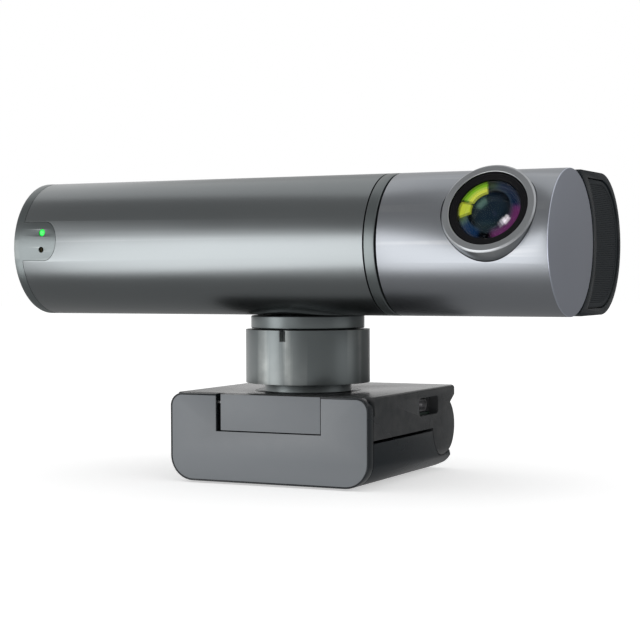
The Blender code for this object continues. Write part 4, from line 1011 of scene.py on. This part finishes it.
# %% Sizes of the base
cover_low, cover_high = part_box("base_cover")
leg_low, leg_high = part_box("leg_shell")
flap_low, flap_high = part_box("front_flap")
pad_low, pad_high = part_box("foot_pad")
grip_low, grip_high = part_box("leg_grip_pad")
BACK = cover_high.y
SLIT_TOP = 12.3 * MM
SLIT_BOTTOM = 11.5 * MM
SHELL_FRONT = flap_high.y + GAP
HINGE = (0, 28.5 * MM, 12.2 * MM)
KNUCKLE_R = 7.9 * MM
KNUCKLE_LEFT, KNUCKLE_RIGHT = -19.4 * MM, 17.4 * MM
TONGUE_LEFT, TONGUE_RIGHT, TONGUE_BOTTOM = -14.4 * MM, 14.15 * MM, 13.8 * MM
FLAP_AXIS = (0, flap_low.y + 1.7 * MM, base_top - 2.2 * MM)
CORNERS = (6.5 * MM, 6.5 * MM, 3.4 * MM, 3.4 * MM)
FACE_DEPTH = 0.45 * MM
USB_Y, USB_Z = 17.6 * MM, 18.5 * MM


def knuckle(name, radius, left, right):
    return rod(name, radius, "X", HINGE, left, right, 96)


def base_section(name):
    """The whole base seen from the front: lower edges as round as the flap's, top edges barely."""
    radii = (CORNERS[0], CORNERS[1], 0.6 * MM, 0.6 * MM)
    outline = rounded((flap_low.x, flap_low.z), (flap_high.x, base_top), radii, 20)
    return prism(name, outline, "Y", flap_low.y - OVER, BACK + OVER)


# %% Upper shell with the tongue and the outer knuckles
step_z = HINGE[2] + KNUCKLE_R - 1.7 * MM
step_y = HINGE[1] + sqrt(KNUCKLE_R ** 2 - (step_z - HINGE[2]) ** 2) - 0.4 * MM
side = [(SHELL_FRONT, SLIT_TOP), (HINGE[1], SLIT_TOP), (HINGE[1], step_z), (step_y, step_z),
        (BACK, base_top - 2.7 * MM),
        (BACK, base_top - 0.8 * MM), (BACK - 0.8 * MM - OVER, base_top + OVER),
        (SHELL_FRONT, base_top + OVER)]
cover = prism("upper_shell", side, "X", cover_low.x - OVER, cover_high.x + OVER)
boolean(cover, knuckle("left_knuckle", KNUCKLE_R, cover_low.x - OVER, KNUCKLE_LEFT - GAP),
        operation="UNION")
boolean(cover, knuckle("right_knuckle", KNUCKLE_R, KNUCKLE_RIGHT + GAP, cover_high.x + OVER),
        operation="UNION")
boolean(cover, base_section("cover_section"), operation="INTERSECT")
boolean(cover, knuckle("middle_room", KNUCKLE_R + GAP, KNUCKLE_LEFT - GAP, KNUCKLE_RIGHT + GAP))
tongue = block("tongue", (TONGUE_LEFT, flap_low.y + FACE_DEPTH, TONGUE_BOTTOM),
               (TONGUE_RIGHT, SHELL_FRONT + 0.2 * MM, base_top - 0.05 * MM))
boolean(cover, tongue, operation="UNION")
for label, left, far in (("left", cover_low.x - OVER, TONGUE_LEFT - 0.15 * MM),
                         ("right", TONGUE_RIGHT + 0.15 * MM, cover_high.x + OVER)):
    boolean(cover, block("ear_room_" + label, (left, SHELL_FRONT - OVER, FLAP_AXIS[2] - 2.5 * MM),
                         (far, SHELL_FRONT + 0.75 * MM, base_top + OVER)))
wall = 1.8 * MM
room_back = HINGE[1] - KNUCKLE_R - GAP - wall
boolean(cover, block("cover_room", (cover_low.x + wall, SHELL_FRONT + wall, SLIT_TOP - OVER),
                     (cover_high.x - wall, room_back, base_top - 2.4 * MM)))
boolean(cover, rod("flange_seat", flange_r + 0.15 * MM, "Z", (0, 0, 0), base_top - 0.9 * MM,
                   base_top + OVER, 128))
boolean(cover, rod("neck_room", 8.3 * MM, "Z", (0, 0, 0), base_top - 3.4 * MM, base_top, 96))
recess = rounded((USB_Y - 6.7 * MM, USB_Z - 2.45 * MM), (USB_Y + 6.7 * MM, USB_Z + 2.45 * MM),
                 (1.2 * MM,) * 4)
boolean(cover, prism("inlet_recess", recess, "X", cover_high.x - 2.8 * MM, cover_high.x + OVER))
inlet = rounded((USB_Y - 4.7 * MM, USB_Z - 1.75 * MM), (USB_Y + 4.7 * MM, USB_Z + 1.75 * MM),
                (1.6 * MM,) * 4)
boolean(cover, prism("inlet_room", inlet, "X", cover_high.x - 9.3 * MM, cover_high.x))
soften(cover, 0.32 * MM, 3)
fit(cover, "base", "base_plastic", base_plastic, "base_cover")
print("upper shell", len(cover.data.polygons), "faces")

# %% Lower shell with the middle knuckle
foot_z = 0.5 * MM
side = [(SHELL_FRONT, foot_z), (31 * MM, foot_z), (BACK - 0.9 * MM, 1.6 * MM), (BACK - 0.9 * MM, 3.6 * MM),
        (32.9 * MM, 5.3 * MM),
        (HINGE[1], 5.3 * MM), (HINGE[1], SLIT_BOTTOM), (SHELL_FRONT, SLIT_BOTTOM)]
leg = prism("lower_shell", side, "X", leg_low.x - OVER, leg_high.x + OVER)
boolean(leg, base_section("leg_section"), operation="INTERSECT")
boolean(leg, knuckle("middle_knuckle", KNUCKLE_R, KNUCKLE_LEFT, KNUCKLE_RIGHT), operation="UNION")
for label, left, far in (("left", leg_low.x - OVER, KNUCKLE_LEFT),
                         ("right", KNUCKLE_RIGHT, leg_high.x + OVER)):
    boolean(leg, knuckle("outer_room_" + label, KNUCKLE_R + GAP, left, far))
grip_seat = rounded((grip_low.x - GAP, grip_low.y - GAP), (grip_high.x + GAP, grip_high.y + GAP),
                    (1.8 * MM,) * 4)
boolean(leg, prism("grip_seat", grip_seat, "Z", grip_low.z - GAP, SLIT_BOTTOM + OVER))
foot_seat = rounded((pad_low.x - GAP, pad_low.y - GAP), (pad_high.x + GAP, pad_high.y + GAP),
                    (2.3 * MM,) * 4)
boolean(leg, prism("foot_seat", foot_seat, "Z", foot_z - OVER, pad_high.z + GAP))
soften(leg, 0.32 * MM, 3)
fit(leg, "foot", "base_plastic", base_plastic, "leg_shell")
print("lower shell", len(leg.data.polygons), "faces")

# %% [markdown]
# ## Front flap
#
# The flap is a flat plate with generous lower corners and small upper ones. Its two ears stand
# beside the tongue and are rounded behind the pin, so that the flap can swing up.

# %% Flap plate
def flap_front(name, inset, start, end):
    """The flap's shape seen from the front, this far inside its outer edge."""
    low, high = (flap_low.x + inset, flap_low.z + inset), (flap_high.x - inset, flap_high.z - inset)
    shape = prism(name, rounded(low, high, [r - inset for r in CORNERS], 20), "Y", start, end)
    gap_low = (TONGUE_LEFT - 1.45 * MM, start - OVER, TONGUE_BOTTOM - GAP)
    return boolean(shape, block(name + "_gap", gap_low, (TONGUE_RIGHT + GAP, end + OVER, base_top + OVER)))


FLAP_RIM = 0.35 * MM
plate = flap_front("flap_plate", 0, flap_low.y, flap_high.y)
boolean(plate, bake(flap_front("face_seat", FLAP_RIM, flap_low.y - OVER, flap_low.y + FACE_DEPTH)))
ear_r = 2.2 * MM
start = degrees(acos((flap_high.y - FLAP_AXIS[1]) / ear_r))
curve = arc(FLAP_AXIS[1:], ear_r, start, 90, 16)
far_y = flap_high.y + OVER
ear = curve + [(FLAP_AXIS[1], base_top + OVER), (far_y, base_top + OVER), (far_y, curve[0][1])]
boolean(plate, prism("ear_rounding", ear, "X", flap_low.x - OVER, flap_high.x + OVER))
back_low, back_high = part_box("flap_pad")
pad_seat = rounded((back_low.x - GAP, back_low.z - GAP), (back_high.x + GAP, back_high.z + GAP),
                   (1.3 * MM,) * 4)
boolean(plate, prism("flap_pad_seat", pad_seat, "Y", flap_high.y - 0.8 * MM, flap_high.y + OVER))
soften(plate, 0.2 * MM, 3)
fit(plate, "flap", "base_plastic", base_plastic, "front_flap")

# %% [markdown]
# The grey that is seen from the front is a thin sheet let into the dark plate, so a fine dark
# rim stays round it. A second sheet of the same grey covers the tongue.

# %% Grey sheets
SHEET_BACK = flap_low.y + FACE_DEPTH - 0.05 * MM
sheet = bake(flap_front("flap_sheet", FLAP_RIM + 0.08 * MM, flap_low.y, SHEET_BACK))
soften(sheet, 0.1 * MM, 2)
fit(sheet, "flap", "flap_metal", flap_metal, "flap_face")
small = block("tongue_sheet", (TONGUE_LEFT, flap_low.y, TONGUE_BOTTOM),
              (TONGUE_RIGHT + 0.14 * MM, SHEET_BACK, base_top - 0.05 * MM))
soften(small, 0.1 * MM, 2)
fit(small, "base", "flap_metal", flap_metal, "tongue_face")
print("flap", len(plate.data.polygons), "faces; sheets", len(sheet.data.polygons), len(small.data.polygons))

# %% [markdown]
# ## Rubber pads
#
# All three pads are plates covered in small round studs. The studs repeat, so one tree makes a
# pad of any size: a grid of points, and on each point a stud with few faces.

# %% The pad tree
def make_pad_tree():
    tree, given, out = new_tree("studded_pad", [
        ("Width", "Float", 0.02), ("Depth", "Float", 0.01), ("Pitch", "Float", 0.002),
        ("Stud", "Float", 0.0006),
        ("Rise", "Float", 0.00025)])
    calc = maths(tree)
    counts = [calc("ADD", calc("FLOOR", calc("DIVIDE", given[side], given["Pitch"])), 1.0)
              for side in ("Width", "Depth")]
    grid = geo(tree, "MeshGrid", {"Size X": given["Width"], "Size Y": given["Depth"],
                                  "Vertices X": counts[0], "Vertices Y": counts[1]})
    stud = geo(tree, "MeshCone", {"Vertices": 12, "Side Segments": 1, "Depth": given["Rise"],
                                  "Radius Top": calc("MULTIPLY", given["Stud"], 0.7),
                                  "Radius Bottom": given["Stud"]})
    points = geo(tree, "MeshToPoints", {0: grid})
    return end_tree(tree, given, out, geo(tree, "InstanceOnPoints", {"Points": points, "Instance": stud}))


PAD_TREE = make_pad_tree()


# %% Three pads
STUD_PITCH, STUD_R, STUD_RISE = 1.9 * MM, 0.55 * MM, 0.25 * MM


def studs(name, width, depth, matrix):
    item = grow(name, PAD_TREE, Width=width, Depth=depth, Pitch=STUD_PITCH, Stud=STUD_R, Rise=STUD_RISE)
    item.data.transform(matrix)
    return item


def flat_pad(name, low, high, facing):
    """A pad on its back, studs up or down along Z."""
    base_start = low.z if facing > 0 else low.z + STUD_RISE
    base_end = high.z - STUD_RISE if facing > 0 else high.z
    pad = prism(name, rounded((low.x, low.y), (high.x, high.y), (1.8 * MM,) * 4), "Z", base_start, base_end)
    soften(pad, 0.12 * MM, 2)
    middle = Vector(((low.x + high.x) / 2, (low.y + high.y) / 2, high.z if facing > 0 else low.z))
    turn = Matrix() if facing > 0 else Matrix.Rotation(pi, 4, "X")
    sink = Matrix.Translation((0, 0, -STUD_RISE))
    size = (high.x - low.x - 3 * MM, high.y - low.y - 3 * MM)
    merge(pad, studs(name + "_studs", *size, Matrix.Translation(middle) @ turn @ sink))
    return pad


foot_pad = flat_pad("table_pad", pad_low, pad_high, -1)
fit(foot_pad, "foot", "rubber", rubber, "foot_pad")
grip_pad = flat_pad("clamp_pad", grip_low, grip_high, 1)
fit(grip_pad, "foot", "rubber", rubber, "leg_grip_pad")

flap_pad = prism("flap_back_pad", rounded((back_low.x, back_low.z), (back_high.x, back_high.z),
                                          (1.0 * MM,) * 4), "Y", back_low.y, back_high.y - 0.2 * MM)
soften(flap_pad, 0.08 * MM, 2)
middle = Vector(((back_low.x + back_high.x) / 2, back_high.y - 0.25 * MM, (back_low.z + back_high.z) / 2))
stud_size = (back_high.x - back_low.x - 2.4 * MM, back_high.z - back_low.z - 2.4 * MM)
merge(flap_pad, studs("flap_studs", *stud_size,
                      Matrix.Translation(middle) @ Matrix.Rotation(-pi / 2, 4, "X")))
fit(flap_pad, "flap", "rubber", rubber, "flap_pad")
print("pads:", len(foot_pad.data.polygons), len(grip_pad.data.polygons), len(flap_pad.data.polygons),
      "faces")

# %% [markdown]
# ## USB inlet
#
# In the base's right side a shallow recess holds the power inlet: a small steel shell with
# rounded ends, open at its mouth, with a tongue in the middle. The contacts on the tongue
# repeat, so Geometry Nodes place them along a line.

# %% Inlet shell and tongue
usb_low, usb_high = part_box("usb_socket")
mouth = usb_high.x
socket = prism("inlet_shell", rounded(usb_low[1:], usb_high[1:], (1.45 * MM,) * 4), "X", usb_low.x, mouth)
inner = rounded((usb_low.y + 0.35 * MM, usb_low.z + 0.35 * MM),
                (usb_high.y - 0.35 * MM, usb_high.z - 0.35 * MM), (1.15 * MM,) * 4)
boolean(socket, prism("inlet_mouth", inner, "X", usb_low.x + 1.2 * MM, mouth + OVER))
boolean(socket, block("inlet_tongue", (usb_low.x + MM, USB_Y - 3.3 * MM, USB_Z - 0.35 * MM),
                      (mouth - 0.8 * MM, USB_Y + 3.3 * MM, USB_Z + 0.35 * MM)),
        operation="UNION")
soften(socket, 0.06 * MM, 2)


# %% Contacts along the tongue
def make_contact_tree():
    tree, given, out = new_tree("contact_row", [
        ("Count", "Int", 12), ("Pitch", "Float", 0.0005), ("Size", "Vector", (0.003, 0.00025, 0.00005))])
    line = geo(tree, "MeshLine", {"Count": given["Count"], "Offset": vector(tree, Y=given["Pitch"])})
    points = geo(tree, "MeshToPoints", {0: line})
    strip = geo(tree, "MeshCube", {"Size": given["Size"]})
    return end_tree(tree, given, out, geo(tree, "InstanceOnPoints", {"Points": points, "Instance": strip}))


contacts = grow("contacts", make_contact_tree(), Count=12, Pitch=0.5 * MM)
contacts.data.transform(Matrix.Translation((mouth - 2.6 * MM, USB_Y - 2.75 * MM, USB_Z + 0.36 * MM)))
merge(socket, contacts)
fit(socket, "base", "steel", steel, "usb_socket")
print("inlet", len(socket.data.polygons), "faces")

# %% [markdown]
# ## Studio
#
# The metal is shown by what it reflects. Three soft lamps stand at the front left and give the
# bright band: one lights the sleeve's half of the bar, one the camera head, and one the column
# and base. Grey cards above, behind, below, in front and at the back right give the calm darker
# bands between the lamps and the white room. The cards are seen only in reflections.

# %% Floor and white surroundings
def plain_stage_object(name, outline, z):
    bm = bmesh.new()
    bm.faces.new([bm.verts.new((x, y, z)) for x, y in outline])
    return new_object(name, bm)


def glowing(name, colour, level, glow):
    """A flat paint that gives off its own light and reflects nothing sharp."""
    paint = bpy.data.materials.new(name)
    paint.use_nodes = True
    shader = paint.node_tree.nodes["Principled BSDF"]
    shader.inputs["Base Color"].default_value = (colour, colour, colour, 1)
    shader.inputs["Specular IOR Level"].default_value = 0
    shader.inputs["Emission Color"].default_value = (level, level, level, 1)
    shader.inputs["Emission Strength"].default_value = glow
    return paint


FLOOR_R, FLOOR_Z = 2.5, -0.0002
floor = plain_stage_object("floor", arc((0, 0), FLOOR_R, 0, 360, 64)[:-1], FLOOR_Z)
floor_paint = glowing("floor_white", 0.9, 1, 0.5)
floor_paint.node_tree.nodes["Principled BSDF"].inputs["Roughness"].default_value = 1
floor.data.materials.append(floor_paint)
floor.visible_glossy = False

world = bpy.data.worlds.new("white_room")
bpy.context.scene.world = world
world.use_nodes = True
room = world.node_tree
back = room.nodes["Background"]
calc = maths(room)
path = add(room, "ShaderNodeLightPath").outputs
seen = calc("ADD", path["Is Camera Ray"], path["Is Glossy Ray"])
seen = calc("MINIMUM", calc("ADD", seen, path["Is Transmission Ray"]), 1.0)
AMBIENT = 0.7
back.inputs["Color"].default_value = (1, 1, 1, 1)
room.links.new(calc("MULTIPLY_ADD", seen, 1 - AMBIENT, AMBIENT), back.inputs["Strength"])
print("floor and surroundings ready")


# %% Lamps and reflection cards
def from_bar(azimuth, height, distance):
    """A point seen from the bar's middle. Azimuth turns from straight ahead to the right, in degrees."""
    a, h = radians(azimuth), radians(height)
    return Vector((distance * sin(a) * cos(h), -distance * cos(a) * cos(h), TILT_Z + distance * sin(h)))


def facing(place, target):
    return (target - place).to_track_quat("-Z", "Y").to_matrix().to_4x4()


def lamp_panel(name, azimuth, height, distance, size, brightness, pieces):
    """A soft lamp that lights only the named pieces, so bar and column can each have their own."""
    data = bpy.data.lights.new(name, "AREA")
    data.shape = "RECTANGLE"
    data.size, data.size_y = size
    data.energy = brightness * pi * size[0] * size[1]
    item = bpy.data.objects.new(name, data)
    bpy.context.scene.collection.objects.link(item)
    place = from_bar(azimuth, height, distance)
    item.matrix_world = Matrix.Translation(place) @ facing(place, Vector((0, 0, TILT_Z)))
    item.visible_camera = False
    lit = bpy.data.collections.new(name + "_pieces")
    for piece in pieces:
        lit.objects.link(bpy.data.objects[piece])
    item.light_linking.receiver_collection = lit
    return item


def card(name, place, target, size, level):
    """A grey card that is seen only in reflections."""
    w, h = size[0] / 2, size[1] / 2
    item = plain_stage_object(name, [(-w, -h), (w, -h), (w, h), (-w, h)], 0)
    item.data.transform(Matrix.Translation(place) @ facing(place, target))
    item.data.materials.append(glowing(name, 0, level, 1))
    for ray in ("camera", "diffuse", "shadow", "transmission", "volume_scatter"):
        setattr(item, "visible_" + ray, False)
    return item


MIDDLE = Vector((0, 0, TILT_Z))
standing = [item.name for item in (cover, leg, plate, sheet, small, neck, collar, spin, socket,
                                   foot_pad, grip_pad, flap_pad)]
head_pieces = [item.name for item in (barrel, disc, bezel, trim, glass, tube)]
head_pieces += ["second_element", "third_element"]
sleeve_pieces = [name for name in shown if name not in standing + head_pieces]
lamp_panel("sleeve_panel", -25, -11, 0.9, (0.95, 0.8), 3.0, sleeve_pieces)
lamp_panel("head_panel", -21, -11, 0.9, (1.06, 0.88), 1.95, head_pieces)
lamp_panel("column_panel", -42, -8, 0.9, (0.46, 0.74), 3.0, standing)
card("upper_card", from_bar(-26, 49, 0.9), MIDDLE, (2.6, 0.92), 0.35)
card("top_card", from_bar(154, 38, 0.9), MIDDLE, (2.6, 0.7), 0.66)
card("lower_card", Vector((0, 0.62, -0.3)), Vector((0, 0.62, 0)), (2.6, 1.9), 0.32)
card("front_card", from_bar(42, 5, 1.0), MIDDLE, (1.5, 0.75), 0.42)
card("back_card", from_bar(150, 0, 1.0), MIDDLE, (1.3, 0.9), 0.2)
print("lamps and cards placed")

# %% Sizes, and the end
print("pieces:", len(shown))
